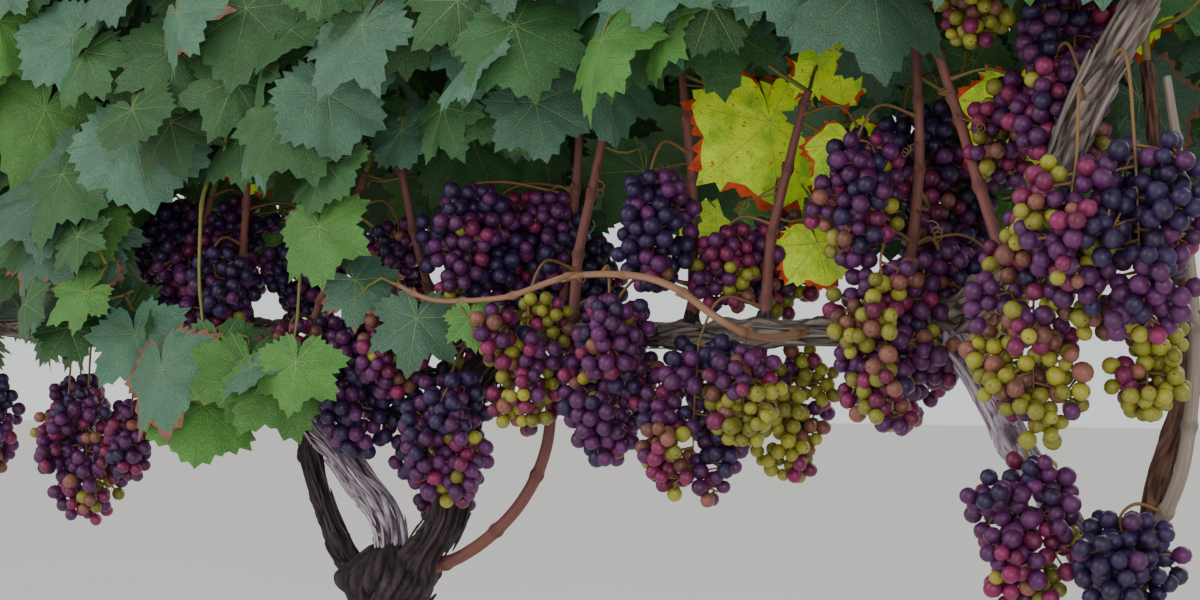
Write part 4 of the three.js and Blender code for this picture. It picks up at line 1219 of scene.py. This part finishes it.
    def made(self, kind):
        """The leaves of a kind, with an array for each of their values."""
        rows = self.leaves[kind]
        return {key: np.array([row[key] for row in rows]) for key in rows[0]}


# The masses of the canopy: the cane that carries each, and the height that it starts from.
CANOPY = [
    ("cane_1", 900), ("cane_2", 940), ("cane_4", 1000), ("cane_6", 1010),
    ("head_cane", 1060), ("cane_8", 1100), ("cane_11", 1130), ("right_low_stem", 1130),
]
# The canopy's ends, the height of its top and of the wave in it, and how far it goes to each side of
# the row.
CANOPY_LEFT = -880
CANOPY_RIGHT = 930
CANOPY_TOP = 1780
CANOPY_WAVE = 50
CANOPY_DEPTH = 230
# The highest place for a shoot's tip.
CROWN_LIMIT = 1856
# A mass: how far it overlaps its neighbours, its twigs and their reach, and its width.
CELL_OVERLAP = 48
TWIGS = 18
TWIG_REACH = 118
MASS_WIDTH = (CANOPY_RIGHT - CANOPY_LEFT) / len(CANOPY)


def canopy_top(index):
    """The top of a mass: the canopy's, more or less a wave along the row."""
    return CANOPY_TOP + CANOPY_WAVE * math.sin(1.7 * index + 0.6)


# The places in the list of bunches of those that show between the leaves at the left.
SEEN_BUNCHES = (2, 3, 4, 43, 41, 42, 5, 40)
SEEN_WIDTH = 96

# Masses in front of the bunches: cane, range in X, range in Z, and the way of the stem.
LOW_LEAVES = {
    "low_leaves_left": (
        "cane_3", (-470, -262), (860, 1130), [(-392, -90, 1096), (-362, -122, 1040), (-340, -124, 960)]),
    "low_leaves_middle": (
        "cane_5", (-258, -92), (740, 1110), [(-190, -92, 1082), (-176, -122, 1000), (-160, -126, 870)]),
    "low_leaves_centre": (
        "cane_7", (-90, 80), (740, 1110), [(8, -92, 1090), (-14, -124, 1000), (-36, -126, 870)]),
    "arched_cane_leaves": (
        "arched_cane", (-10, 200), (840, 1010), [(70, -106, 962), (52, -112, 952), (36, -116, 930)]),
}

# Nodes of the low stems: few leaves hang in front of the bunches at the middle of the row.
LOW_NODES = {"low_leaves_left": 9, "low_leaves_middle": 6, "low_leaves_centre": 3, "arched_cane_leaves": 5}


def mass_stem(cane, way):
    """The line of a mass's stem: it goes on from the tip of its cane and then through its own way."""
    tip, heading = place_on(cane, 1.0)
    return lined_up([tip - 2 * heading, tip + 22 * heading, *way], 160)


# Leaves turn below one height and behind a place in Y. More of them are fresh above another height.
TURNING_BELOW = 1280
TURNING_BEHIND = 20
FRESH_ABOVE = 1300


def kind_of(rng, spot):
    """The colour of a leaf: mostly deep or grey green, and fresh towards the tips of the shoots. A few
    have dry margins, and low down at the back a few turn yellow."""
    draw = rng.uniform()
    if draw < 0.05 and spot[2] < TURNING_BELOW:
        return "turning" if spot[1] > TURNING_BEHIND else "deep"
    if draw < 0.08:
        return "dry"
    if draw < 0.18 + 0.0002 * max(0, spot[2] - FRESH_ABOVE):
        return "fresh"
    # Grey green holds a painted reflection of the sky, deep green painted shade.
    return "grey" if draw < 0.44 else "deep"


def grow_twig(growth, spot, turn, reach, space, blade, roundness):
    """A twig from a node of a stem, with two leaves at each of its own nodes and one at its tip."""
    rng = growth.rng
    end = spot + level(turn, 0.3) * reach
    if np.any(end < space[0] + 8) or np.any(end > space[1] - 8):
        return
    bend = 0.5 * (spot + end) - np.array([0, 0, 0.1 * reach])
    twig = lined_up([spot, bend, end], 24)
    growth.add_shoot(twig, 2.4, 1.3)
    facing = unit(level(turn) * [roundness, 1, 1])
    for share_of in (0.42, 0.72, 1.0):
        node = at_share(twig, share_of)
        for swing in (-1, 1) if share_of < 1 else (0,):
            look = swing * np.array([-facing[1], facing[0], 0]) + 0.6 * facing
            size = blade * rng.uniform(0.75, 1.2)
            growth.try_leaf(kind_of(rng, node), node, look, facing, size, space, (-1.2, -0.45))


def grow_canopy(growth, blade):
    """Each mass grows from its stem by the rule of the model: twigs to the front and the back at the
    nodes, each with its leaves. Then finer side shoots fill what room is left."""
    rng = growth.rng
    for index, (cane, floor) in enumerate(CANOPY):
        left = CANOPY_LEFT + index * MASS_WIDTH
        middle = left + 0.5 * MASS_WIDTH
        top = canopy_top(index)
        tip = LINES[cane][-1]
        rise = top - tip[2]
        way = [
            (tip[0] + 0.4 * (middle - tip[0]), 0.5 * tip[1], tip[2] + 0.3 * rise),
            (middle + 16, -12, tip[2] + 0.62 * rise),
            (middle - 8, 8, top - 25),
        ]
        stem = mass_stem(cane, way)
        growth.add_shoot(stem, 3.6, 1.6)
        space = np.array([
            (max(left - CELL_OVERLAP, CANOPY_LEFT), -CANOPY_DEPTH, floor),
            (min(left + MASS_WIDTH + CELL_OVERLAP, CANOPY_RIGHT), CANOPY_DEPTH, top + 18),
        ])
        end = index in (0, len(CANOPY) - 1)
        for place, where in enumerate(np.linspace(0.04, 0.97, TWIGS)):
            turn = (-1 if place % 2 == 0 else 1) * (0.5 * math.pi + rng.uniform(-1.1, 1.1))
            reach = TWIG_REACH * rng.uniform(0.75, 1.0)
            grow_twig(growth, at_share(stem, where), turn, reach, space, blade, 1.0 if end else 0.3)
        for _ in range(5):
            facing = unit(np.array([rng.uniform(-1, 1), rng.choice([-1.0, 1.0]), 0]))
            node = stem[-1 - rng.integers(0, 12)]
            growth.try_leaf("fresh", node, facing, facing, 0.62 * blade, space, (0.1, 0.9))
        way_out = -1 if index == 0 else 1 if end else 0

        def outward(spot):
            aside = way_out * max(0, way_out * (spot[0] - middle)) / 60
            rise = 2.6 * max(0, 1 - (space[1][2] - 40 - spot[2]) / 70)
            return np.array([aside, math.copysign(1, spot[1] - 4), rise])

        under_top = (space[0] + [0, 0, top - floor - 95], space[1])
        growth.fill(240, under_top, blade, outward, gather=1)
        behind = (space[0] + [0, CANOPY_DEPTH, -60], space[1])
        growth.fill(200, behind, blade, outward, ragged=45)
        growth.fill(300, space, blade, outward, ragged=75)


def grow_crown_shoots(growth, blade):
    """Young shoots that stand out over the hedge and out of its ends. Each bends over towards its
    tip, and its leaves grow smaller towards it, on alternate sides."""
    rng = growth.rng
    starts = []
    for x in np.linspace(CANOPY_LEFT + 50, CANOPY_RIGHT - 40, 19):
        top = canopy_top(int((x - CANOPY_LEFT) / MASS_WIDTH))
        low = [x, 0, top - 60] + drawn(rng, (-25, 25), (-150, 150), 0)
        tall = min(rng.uniform(50, 130), CROWN_LIMIT - top)
        starts.append((low, low + drawn(rng, (-45, 45), (-30, 30), 60 + tall)))
    for end, way_out in ((CANOPY_LEFT, -1), (CANOPY_RIGHT, 1)):
        for height in np.linspace(1190, 1640, 5):
            low = drawn(rng, end - 60 * way_out, (-130, 130), height)
            rise = drawn(rng, (76, 92), (-50, 50), (-30, 90)) * [way_out, 1, 1]
            starts.append((low, low + rise))
    for low, tip in starts:
        root = growth.wood[np.argmin(np.linalg.norm(growth.wood - low, axis=1))]
        bend = 0.5 * (root + tip) + drawn(rng, (-18, 18), (-18, 18), 0.12 * (tip[2] - low[2]))
        line = lined_up([root, bend, tip], 24)
        growth.add_shoot(line, 2.0, 0.9)
        turn = rng.uniform(0, FULL_TURN)
        for place, share_of in enumerate((0.4, 0.56, 0.7, 0.82, 0.92, 1.0)):
            node = at_share(line, share_of)
            turn += math.pi + rng.uniform(-0.6, 0.6)
            aside = level(turn)
            size = blade * (0.85 - 0.1 * place) * rng.uniform(0.85, 1.1)
            base = node + size * (0.45 * aside + np.array([0, 0, 0.16]))
            ahead = aside + drawn(rng, 0, 0, (-0.9, -0.1))
            if base[2] < CROWN_LIMIT + 12:
                kind = "fresh" if place > 2 else "deep"
                growth.add_leaf(kind, node, base, ahead, 0.5 * aside + [0, 0, 1.0], size)


def view_axes(azimuth):
    """The level directions across the view and towards it."""
    across = level(azimuth)
    return across, np.array([across[1], -across[0], 0])


def open_to_view(growth, bunches, azimuth):
    """Keeps leaves away from in front of the bunches that show between them."""
    _, to_view = view_axes(azimuth)
    for number in SEEN_BUNCHES:
        _, top, depth, *_ = bunches[number]
        spots = np.array(top) - np.outer([0.15, 0.8], [0, 0, depth])
        for reach in range(60, 340, 40):
            growth.keep_clear(spots + reach * to_view, SEEN_WIDTH)


def grow_low_leaves(growth, blade):
    """Leaves in front of the bunches, on stems that hang down from the tips of three canes, and
    small ones at the tip of the arched cane."""
    rng = growth.rng
    for name, (cane, x, z, way) in LOW_LEAVES.items():
        small = cane == "arched_cane"
        stem = mass_stem(cane, way)
        growth.add_shoot(stem, 2.0 if small else 3.0, 1.2)
        space = np.array([(x[0], -CANOPY_DEPTH, z[0]), (x[1], -40, z[1])])
        facing = unit(np.array([0.25, -1.0, 0.0]))
        for where in np.linspace(0.12, 1.0, LOW_NODES[name]):
            spot = at_share(stem, where)
            for swing in (-1, 1):
                look = swing * np.array([1.0, 0.25, 0]) + 0.4 * facing
                size = blade * (rng.uniform(0.36, 0.55) if small else rng.uniform(0.8, 1.15))
                kind = "fresh" if small or rng.uniform() < 0.3 else rng.choice(["grey", "deep", "dry"])
                growth.try_leaf(kind, spot, look, facing, size, space, (-1.2, -0.35), 1.6, 30)
        if name == "low_leaves_left":
            growth.fill(160, space, blade, lambda spot: facing)


def grow_cane_leaves(growth, blade):
    """Leaves behind the bunches, which all face the back."""
    for x in range(-840, 860, 170):
        space = np.array([(x, 60, 960), (x + 190, CANOPY_DEPTH, 1230)])
        growth.fill(26, space, blade, lambda spot: np.array([0, 1.0, 0]))


# Leaves that stand out in the photograph: middle, length, direction of the tip across and up the
# view, and colour.
SHOWN_LEAVES = [
    ((-488, -186, 1204), 88, (0.5, -1.0), "fresh"),
    ((-440, -190, 1230), 78, (-0.2, -1.0), "fresh"),
    ((-352, -178, 1218), 74, (-0.9, -0.8), "grey"),
    ((-110, -150, 1146), 66, (-0.4, -1.0), "deep"),
    ((-262, -130, 884), 68, (0.2, -1.0), "grey"),
    ((-135, -130, 872), 62, (0.1, -1.0), "deep"),
    ((-98, -130, 850), 64, (-0.1, -1.0), "fresh"),
    ((-190, -150, 1181), 78, (-0.1, -1.0), "deep"),
    ((42, -150, 1118), 70, (0.15, -1.0), "grey"),
    ((283, -120, 1099), 60, (0.2, -1.0), "grey"),
    ((-4, -130, 1012), 46, (-0.9, -0.7), "dry"),
    ((-334, -150, 1007), 64, (-0.5, -1.0), "grey"),
    ((-166, -130, 808), 66, (-0.1, -1.0), "fresh"),
    ((-210, -140, 850), 62, (-0.6, -0.8), "fresh"),
    ((-36, -130, 840), 66, (0.4, -1.0), "fresh"),
    ((58, -110, 949), 50, (0.8, -0.6), "dry"),
    ((115, -110, 900), 58, (-0.15, -1.0), "grey"),
    ((193, -110, 909), 34, (0.1, -1.0), "fresh"),
    ((428, 60, 1072), 100, (0.1, -1.0), "turning"),
    ((500, 60, 1149), 62, (0.1, -1.0), "turning"),
    ((458, -80, 1158), 74, (0.1, -1.0), "deep"),
    ((305, -40, 1129), 70, (0.2, -1.0), "grey"),
    ((308, -60, 1193), 68, (-0.1, -1.0), "grey"),
    ((668, -160, 1156), 88, (0.1, -1.0), "grey"),
    ((596, -150, 1184), 84, (-0.3, -1.0), "grey"),
    ((-250, -140, 1090), 88, (0.3, -1.0), "grey"),
    ((-90, -150, 1210), 90, (-0.2, -1.0), "deep"),
    ((130, -140, 1210), 88, (0.1, -1.0), "deep"),
    ((-420, -150, 1130), 92, (-0.4, -1.0), "fresh"),
    ((-500, -150, 1190), 92, (0.4, -1.0), "fresh"),
    ((700, 40, 1080), 70, (0.1, -1.0), "turning"),
    ((494, 40, 972), 48, (0.3, -1.0), "turning"),
    ((530, 40, 1060), 52, (0.2, -1.0), "turning"),
    ((215, -60, 1120), 70, (0.2, -1.0), "deep"),
    ((180, -90, 1172), 74, (-0.3, -1.0), "grey"),
    ((60, 60, 1090), 80, (0.4, -1.0), "deep"),
    ((230, 90, 1120), 84, (-0.3, -1.0), "deep"),
    ((380, 110, 1140), 84, (0.3, -1.0), "deep"),
]


def grow_shown_leaves(growth, azimuth):
    """The leaves that stand out face the view."""
    rng = growth.rng
    across_view, to_view = view_axes(azimuth)
    for middle, size, (aside, up), kind in SHOWN_LEAVES:
        ahead = across_view * aside + np.array([0, 0, up]) + 0.25 * to_view
        facing = to_view + across_view * rng.uniform(-0.35, 0.35) + np.array([0, 0, 0.35])
        growth.hang_leaf(kind, middle, size, ahead, facing, rng.uniform(0.02, 0.14))


# Tendrils.


def add_tendrils(sheaf, rng, spots):
    """Tendrils: each leaves a node, reaches out and winds up in a coil that grows tighter."""
    share_of = np.linspace(0, 1, 46)
    for spot in spots:
        heading = unit(np.array([rng.uniform(-1, 1), -abs(rng.normal(0.6, 0.4)), rng.uniform(-0.5, 0.5)]))
        side = unit(np.cross(heading, [0, 0, 1]))
        over = np.cross(side, heading)
        reach = rng.uniform(45, 95)
        coil = np.clip((share_of - 0.4) / 0.6, 0, 1)
        turn = rng.uniform(2, 4) * FULL_TURN * coil**1.3
        radius = rng.uniform(5, 9) * (1 - 0.6 * coil) * coil**0.4
        line = (
            spot
            + np.outer(share_of - 0.35 * coil**2, heading) * reach
            + np.outer(radius * np.cos(turn) - radius, side)
            + np.outer(radius * np.sin(turn), over)
        )
        line[:, 2] -= 0.12 * reach * share_of**2
        add_rods(sheaf, line[None], (1.1 - 0.65 * share_of)[None], 5)


# Operators.


class VineOperator:
    """What the operators share."""

    bl_options = {"REGISTER"}


# A picture that many pixels wide is taken with a focal length of that many pixels. The camera's place
# is in millimetres.
SENSOR_WIDTH = 36
PICTURE_WIDTH = 1200
FOCAL_LENGTH = 2200
CAMERA_PLACE = (1562, -1724, 870)


class VINE_OT_camera(VineOperator, bpy.types.Operator):
    """Sets up the camera at the photograph's angle"""

    bl_idname = "vine.camera"
    bl_label = "Camera"

    def execute(self, context):
        stage = context.scene.vine_stage
        data = bpy.data.cameras.new("camera")
        data.sensor_width = SENSOR_WIDTH
        data.lens = SENSOR_WIDTH * FOCAL_LENGTH / PICTURE_WIDTH
        data.clip_end = 60
        camera = bpy.data.objects.new("camera", data)
        camera.location = Vector(CAMERA_PLACE) * MM
        camera.rotation_euler = Euler((math.radians(90) + stage.pitch, 0, stage.azimuth))
        context.scene.collection.objects.link(camera)
        context.scene.camera = camera
        return {"FINISHED"}


# The area lights: place and size in metres, share of the main light's power, and tint. All aim at
# the same place.
LIGHTS = {
    "key": ((-1.5, -3.3, 2.6), 3.0, 1.0, (1.0, 0.97, 0.92)),
    "fill": ((2.9, -2.9, 0.9), 2.4, 0.82, (1.0, 0.96, 0.93)),
    "back": ((0.8, 3.2, 3.0), 2.2, 0.7, (1.0, 0.98, 0.9)),
}
LIGHTS_AIM = (0.1, 0, 0.95)
FLOOR_HALF = 30.0
FLOOR_DROP = 0.001
SKY = (0.9, 0.92, 0.93, 1)


class VINE_OT_stage(VineOperator, bpy.types.Operator):
    """Lays the pale floor and hangs the soft lights"""

    bl_idname = "vine.stage"
    bl_label = "Stage"

    def execute(self, context):
        stage = context.scene.vine_stage
        mesh = bpy.data.meshes.new("floor")
        corners = [(x * FLOOR_HALF, y * FLOOR_HALF, 0) for x, y in ((-1, -1), (1, -1), (1, 1), (-1, 1))]
        mesh.from_pydata(corners, [], [(0, 1, 2, 3)])
        mesh.materials.append(floor_paint("studio_floor", stage.floor))
        floor = bpy.data.objects.new("floor", mesh)
        floor.location.z = -FLOOR_DROP
        context.scene.collection.objects.link(floor)
        for name, (place, size, share_of, tint) in LIGHTS.items():
            data = bpy.data.lights.new(name, "AREA")
            data.size = size
            data.energy = share_of * stage.key
            data.color = tint
            light = bpy.data.objects.new(name, data)
            light.location = place
            aim = Vector(LIGHTS_AIM) - Vector(place)
            light.rotation_euler = aim.to_track_quat("-Z", "Y").to_euler()
            context.scene.collection.objects.link(light)
        world = bpy.data.worlds.new("studio")
        world.use_nodes = True
        sky = world.node_tree.nodes["Background"]
        sky.inputs["Color"].default_value = SKY
        sky.inputs["Strength"].default_value = 1.0
        context.scene.world = world
        return {"FINISHED"}


# The trunk's knots: share of its length, direction, size and height.
TRUNK_KNOTS = [
    (0.91, 0.4, 20, 9), (0.93, 2.2, 20, 11), (0.95, 4.1, 22, 10), (0.96, 5.4, 17, 10),
    (0.97, 1.2, 15, 9), (0.70, 3.4, 20, 7), (0.52, 1.6, 22, 6), (0.33, 4.8, 24, 6),
    (0.88, 3.2, 15, 6), (0.80, 5.6, 17, 6), (0.02, 0.6, 30, 10), (0.03, 2.9, 32, 9),
    (0.02, 4.6, 30, 11),
]


class VINE_OT_trunk(VineOperator, bpy.types.Operator):
    """Grows the trunk with its furrowed bark, flared foot and knotted head"""

    bl_idname = "vine.trunk"
    bl_label = "Trunk"

    def execute(self, context):
        wood = context.scene.vine_wood
        rng = np.random.default_rng(SEEDS["trunk"])
        line = LINES["trunk"]
        first = int(np.argmax(line[:, 2] > 0))
        run = run_of(line)
        start = run[first] / run[-1]

        def radius(along):
            blunt = np.where(along > 0.985, 0.75, 1.0)
            return trunk_radius(start + (1 - start) * along) * blunt

        sheaf = Sheaf()
        sizes = {"depth": wood.furrow / MM, "strip_width": wood.strip / MM, "side_step": 1.75}
        sides = add_bark(
            sheaf, line[first:], radius, rng, **sizes, ring_step=2.6, ridges=0.07, knots=TRUNK_KNOTS
        )
        # The foot is flat: no point is below the ground, and the first ring lies on it.
        points = sheaf.points[0]
        points[:, 2] = np.maximum(points[:, 2], 0.0)
        points[:sides, 2] = 0.0
        sheaf.piece("trunk_bark", finish_of(context, "dark"), "dark_bark", ["trunk"])
        return {"FINISHED"}


class VINE_OT_old_wood(VineOperator, bpy.types.Operator):
    """Grows the arms, the level arms and the stems at the right end"""

    bl_idname = "vine.old_wood"
    bl_label = "Old wood"

    def execute(self, context):
        wood = context.scene.vine_wood
        for index, (name, (radius, finish, slot)) in enumerate(OLD_WOOD.items()):
            rng = np.random.default_rng(SEEDS["old_wood"] + index)
            total = run_of(LINES[name])[-1]
            shape = collar(radius, total)
            if name in POINTED:
                shape = pointed(shape, total)
            knots = [
                (rng.uniform(0.05, 0.95), rng.uniform(0, FULL_TURN), rng.uniform(9, 16), rng.uniform(3, 7))
                for _ in range(max(3, int(total / 60)))
            ]
            sheaf = Sheaf()
            depth = (0.75 if finish != "brown" else 0.35) * wood.furrow / MM
            sizes = {"depth": depth, "strip_width": 0.7 * wood.strip / MM, "side_step": 1.5}
            add_bark(sheaf, rooted(LINES[name]), shape, rng, **sizes, ring_step=2.3, ridges=0.05, knots=knots)
            sheaf.piece(f"{name}_bark", finish_of(context, finish), slot, [name])
        return {"FINISHED"}


# How many shreds each limb has.
SHREDS = {
    "left_arm": 80, "right_hanging_limb": 70, "right_rising_arm": 40, "left_cordon": 70,
    "right_cordon": 60, "right_arm": 46, "left_second_stem": 34,
}


class VINE_OT_shreds(VineOperator, bpy.types.Operator):
    """Lifts loose strips of bark off the old wood"""

    bl_idname = "vine.shreds"
    bl_label = "Bark shreds"

    def execute(self, context):
        rng = np.random.default_rng(SEEDS["shreds"])
        sheaves = {"pale": Sheaf(), "grey": Sheaf(), "dark": Sheaf()}
        line = LINES["trunk"]
        line = line[int(np.argmax(line[:, 2] > 30)):-20]

        def radius(along):
            return trunk_radius(0.1 + 0.86 * along)

        add_shreds(sheaves["dark"], line, radius, rng, 80, (50, 150), (2.0, 5.5), 5.5)
        for name, number in SHREDS.items():
            radius, finish, _ = OLD_WOOD[name]
            add_shreds(sheaves[finish], LINES[name], radius, rng, number)
        for key, sheaf in sheaves.items():
            sheaf.piece(f"{key}_shreds", finish_of(context, key), f"{key}_bark")
        return {"FINISHED"}


# The pieces of each finish: name, slot, and for each cane its radius at root and tip and the
# distance between its nodes.
CANE_KINDS = {
    "red": ("red_canes", "red_cane", {name: (5.6, 3.7, 62) for name in CANES} | {"head_cane": (7, 3.7, 74)}),
    "ash": ("grey_cane", "grey_bark", {"end_cane": (6.5, 3.7, 78)}),
    "tan": ("tan_cane", "tan_cane", {"arched_cane": (4, 2.3, 68)}),
}


class VINE_OT_canes(VineOperator, bpy.types.Operator):
    """Grows this year's canes with their nodes and buds, and the spurs that they stand on"""

    bl_idname = "vine.canes"
    bl_label = "Canes"

    def execute(self, context):
        rng = np.random.default_rng(SEEDS["canes"])
        spurs = Sheaf()
        for finish, (piece, slot, canes) in CANE_KINDS.items():
            sheaf = Sheaf()
            for name, (base, tip, spacing) in canes.items():
                add_cane(sheaf, LINES[name], base, tip, rng, spacing)
                if name in CANES:
                    root, heading = place_on(name, 0.0)
                    line = np.linspace(root - 8 * heading, root + 20 * heading, 40)
                    add_bark(spurs, line, spur_radius, rng, 2.6, 6.0, 1.6, 1.6)
            sheaf.piece(piece, finish_of(context, finish), slot, list(canes))
        spurs.piece("spurs", finish_of(context, "dark"), "dark_bark")
        return {"FINISHED"}


# How far the bloom covers each kind of berry, the colour of that bloom, and the ripeness at which
# one kind gives way to the next.
BERRY_KINDS = {
    "green": (0.3, 0x8F9060), "amber": (0.5, 0x84605A), "rose": (0.5, 0x78405C),
    "purple": (0.85, 0x5E386A), "blue": (0.95, 0x46385F),
}
RIPE_LIMITS = (0.33, 0.41, 0.53, 0.8)


class VINE_OT_bunches(VineOperator, bpy.types.Operator):
    """Hangs the bunches: stalks, and berries dealt out by how ripe they are"""

    bl_idname = "vine.bunches"
    bl_label = "Bunches"

    def execute(self, context):
        look = context.scene.vine_berries
        sheaves = {(key, half): Sheaf() for key in BERRY_KINDS for half in (0, 1)}
        holders = {pair: set() for pair in sheaves}
        stalks = Sheaf()
        others = np.zeros((0, 4))
        for index, (root, top, depth, width, ripe, wing, node) in enumerate(bunch_list()):
            rng = np.random.default_rng(SEEDS["bunches"] + index)
            grid = (10, 6) if node else (8, 5)
            top = np.array(top, float)
            out = (root + 2 * top) / 3
            out[2] = max(root[2], top[2]) + 8
            places, radii, ripeness, holder, roots, tips = settled_berries(
                rng, top, depth, width, wing, RIPENESS[ripe], look.berry / MM, others
            )
            stem = lined_up([root, out, top, *roots[2::3]], 40)
            girth = np.interp(np.linspace(0, 1, 40), [0, 0.06, 0.1, 0.5, 1], [3.3, 2.0, 1.6, 1.3, 0.7])
            add_rods(stalks, stem[None], girth[None], 6)
            others = np.vstack([others, np.column_stack([places, radii])])
            share_of = np.linspace(0, 1, 4)[None, :, None]
            reach = roots[:, None] + 0.86 * (tips - roots)[:, None] * share_of
            reach[..., 2:] += 5 * share_of * (1 - share_of)
            add_rods(stalks, reach, np.array([[1.5, 1.1, 0.9, 0.7]]), 4)
            joint = roots[holder] + (tips - roots)[holder] * rng.uniform(0.3, 0.8, len(holder))[:, None]
            axes = unit(places - joint)
            joined = places - axes * radii[:, None]
            add_rods(stalks, np.stack([joint, joined + axes], axis=1), np.array([[0.7, 1.3]]), 3)
            sorts = np.digitize(ripeness, RIPE_LIMITS)
            for sort, key in enumerate(BERRY_KINDS):
                pair = key, index % 2
                chosen = sorts == sort
                if chosen.any():
                    berries = places[chosen], radii[chosen], axes[chosen]
                    add_berries(sheaves[pair], *berries, rng, *grid)
                    if node:
                        holders[pair].add(node)
        for key, (cover, bloom) in BERRY_KINDS.items():
            skin = getattr(look, key)
            material = berry_paint(f"vine_{key}_berry", skin, light_of(bloom), look.bloom * cover)
            slot = "green_berries" if key == "amber" else f"{key}_berries"
            for half in (0, 1):
                name = f"{key}_berries_{half + 1}"
                sheaves[key, half].piece(name, material, slot, sorted(holders[key, half]))
        nodes = [f"bunch_{index + 1:02d}" for index in range(len(BUNCHES))]
        stalks.piece("bunch_stalks", finish_of(context, "stalk"), "tan_cane", nodes)
        return {"FINISHED"}


# Each kind of leaf: the setting of its colour, and its slot. Two kinds have dry margins: the name of
# the piece and the setting of its colour.
LEAF_KINDS = {
    "deep": ("deep", "deep_leaf"), "grey": ("grey", "deep_leaf"), "fresh": ("fresh", "fresh_leaf"),
    "turning": ("turning", "fresh_leaf"), "dry": ("grey", "deep_leaf"),
}
MARGINS = {"turning": ("turned_margins", "margin"), "dry": ("dry_margins", "dry")}
# Rings of points in a blade without a margin and with one, as shares of its reach.
PLAIN_RINGS = (0.52, 1.0)
MARGIN_RINGS = (0.45, 0.9, 1.0)
# How many leaves one piece may have.
MOST_LEAVES = 930


class VINE_OT_leaves(VineOperator, bpy.types.Operator):
    """Grows the canopy: shoots, twigs, leaf stalks and leaves"""

    bl_idname = "vine.leaves"
    bl_label = "Leaves"

    def execute(self, context):
        look = context.scene.vine_leaves
        growth = Growth(SEEDS["leaves"])
        blade = look.blade / MM
        bunches = bunch_list()
        for _, top, depth, width, *_ in bunches:
            spots = np.array(top) - np.outer([0.2, 0.7], [0, 0, depth])
            growth.keep_clear(spots, width)
        azimuth = context.scene.vine_stage.azimuth
        open_to_view(growth, bunches, azimuth)
        grow_low_leaves(growth, blade)
        grow_shown_leaves(growth, azimuth)
        grow_canopy(growth, blade)
        grow_crown_shoots(growth, blade)
        grow_cane_leaves(growth, blade)
        shoots, stalks = Sheaf(), Sheaf()
        for line, base, tip in growth.shoots:
            add_cane(shoots, line, base, tip, growth.rng, 46, 5, 1.0, 13, buds=base > 3)
        girth = np.linspace(1.35, 0.9, 6)
        add_rods(stalks, np.array(growth.stalks), girth[None], 3)
        masses = [f"leaves_{index + 1}" for index in range(len(CANOPY))]
        shoots.piece("leafy_shoots", finish_of(context, "shoot"), "fresh_leaf", [*masses, *LOW_LEAVES])
        stalks.piece("leaf_stalks", finish_of(context, "shoot"), "fresh_leaf")
        for key, (green, slot) in LEAF_KINDS.items():
            # Turning leaves get green patches, rusty spots and a faint painted glow.
            turns = {"shade": 0.2, "patch": light_of(0x6FA428)} if key == "turning" else {}
            material = leaf_paint(f"vine_{key}_leaf", getattr(look, green), look.vein, **turns)
            rows = growth.made(key)
            parts = math.ceil(len(rows["size"]) / MOST_LEAVES)
            margin = Sheaf() if key in MARGINS else None
            for part in range(parts):
                sheaf = Sheaf()
                chosen = {name: value[part::parts] for name, value in rows.items()}
                rings = MARGIN_RINGS if margin else PLAIN_RINGS
                add_leaves(sheaf, chosen, growth.rng, look.fold, rings, margin)
                sheaf.piece(f"{key}_leaves_{part + 1}", material, slot)
            if margin:
                name, skin = MARGINS[key]
                margin.piece(name, margin_paint(f"vine_{name}", getattr(look, skin)), slot)
        return {"FINISHED"}


class VINE_OT_tendrils(VineOperator, bpy.types.Operator):
    """Winds tendrils from the nodes of the canes"""

    bl_idname = "vine.tendrils"
    bl_label = "Tendrils"

    def execute(self, context):
        rng = np.random.default_rng(SEEDS["tendrils"])
        names = [*list(CANES)[6:], "head_cane", "arched_cane", "end_cane"]
        spots = [place_on(name, rng.uniform(0.35, 0.95))[0] for name in names for _ in range(2)]
        sheaf = Sheaf()
        add_tendrils(sheaf, rng, spots)
        sheaf.piece("tendrils", finish_of(context, "stalk"), "tan_cane")
        return {"FINISHED"}


class VINE_PT_panel(bpy.types.Panel):
    """Lists the vine's settings and pieces"""

    bl_idname = "VINE_PT_panel"
    bl_label = "Grapevine"
    bl_space_type = "VIEW_3D"
    bl_region_type = "UI"
    bl_category = "Vine"

    def draw(self, context):
        for group in SETTINGS:
            box = self.layout.box()
            settings = getattr(context.scene, group)
            for key in settings.__annotations__:
                box.prop(settings, key)
        for operator in OPERATORS:
            self.layout.operator(operator.bl_idname)


SETTINGS = {
    "vine_wood": VineWood,
    "vine_leaves": VineLeaves,
    "vine_berries": VineBerries,
    "vine_stage": VineStage,
}
OPERATORS = [
    VINE_OT_camera,
    VINE_OT_stage,
    VINE_OT_trunk,
    VINE_OT_old_wood,
    VINE_OT_shreds,
    VINE_OT_canes,
    VINE_OT_bunches,
    VINE_OT_leaves,
    VINE_OT_tendrils,
]


def register():
    for group in SETTINGS.values():
        bpy.utils.register_class(group)
    for name, group in SETTINGS.items():
        setattr(bpy.types.Scene, name, bpy.props.PointerProperty(type=group))
    for operator in OPERATORS:
        bpy.utils.register_class(operator)
    bpy.utils.register_class(VINE_PT_panel)


def unregister():
    bpy.utils.unregister_class(VINE_PT_panel)
    for operator in reversed(OPERATORS):
        bpy.utils.unregister_class(operator)
    for name, group in SETTINGS.items():
        delattr(bpy.types.Scene, name)
        bpy.utils.unregister_class(group)


def main():
    """Makes every piece in order."""
    register()
    for operator in OPERATORS:
        getattr(bpy.ops.vine, operator.bl_idname.split(".")[1])()
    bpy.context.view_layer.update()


if __name__ == "__main__":
    main()
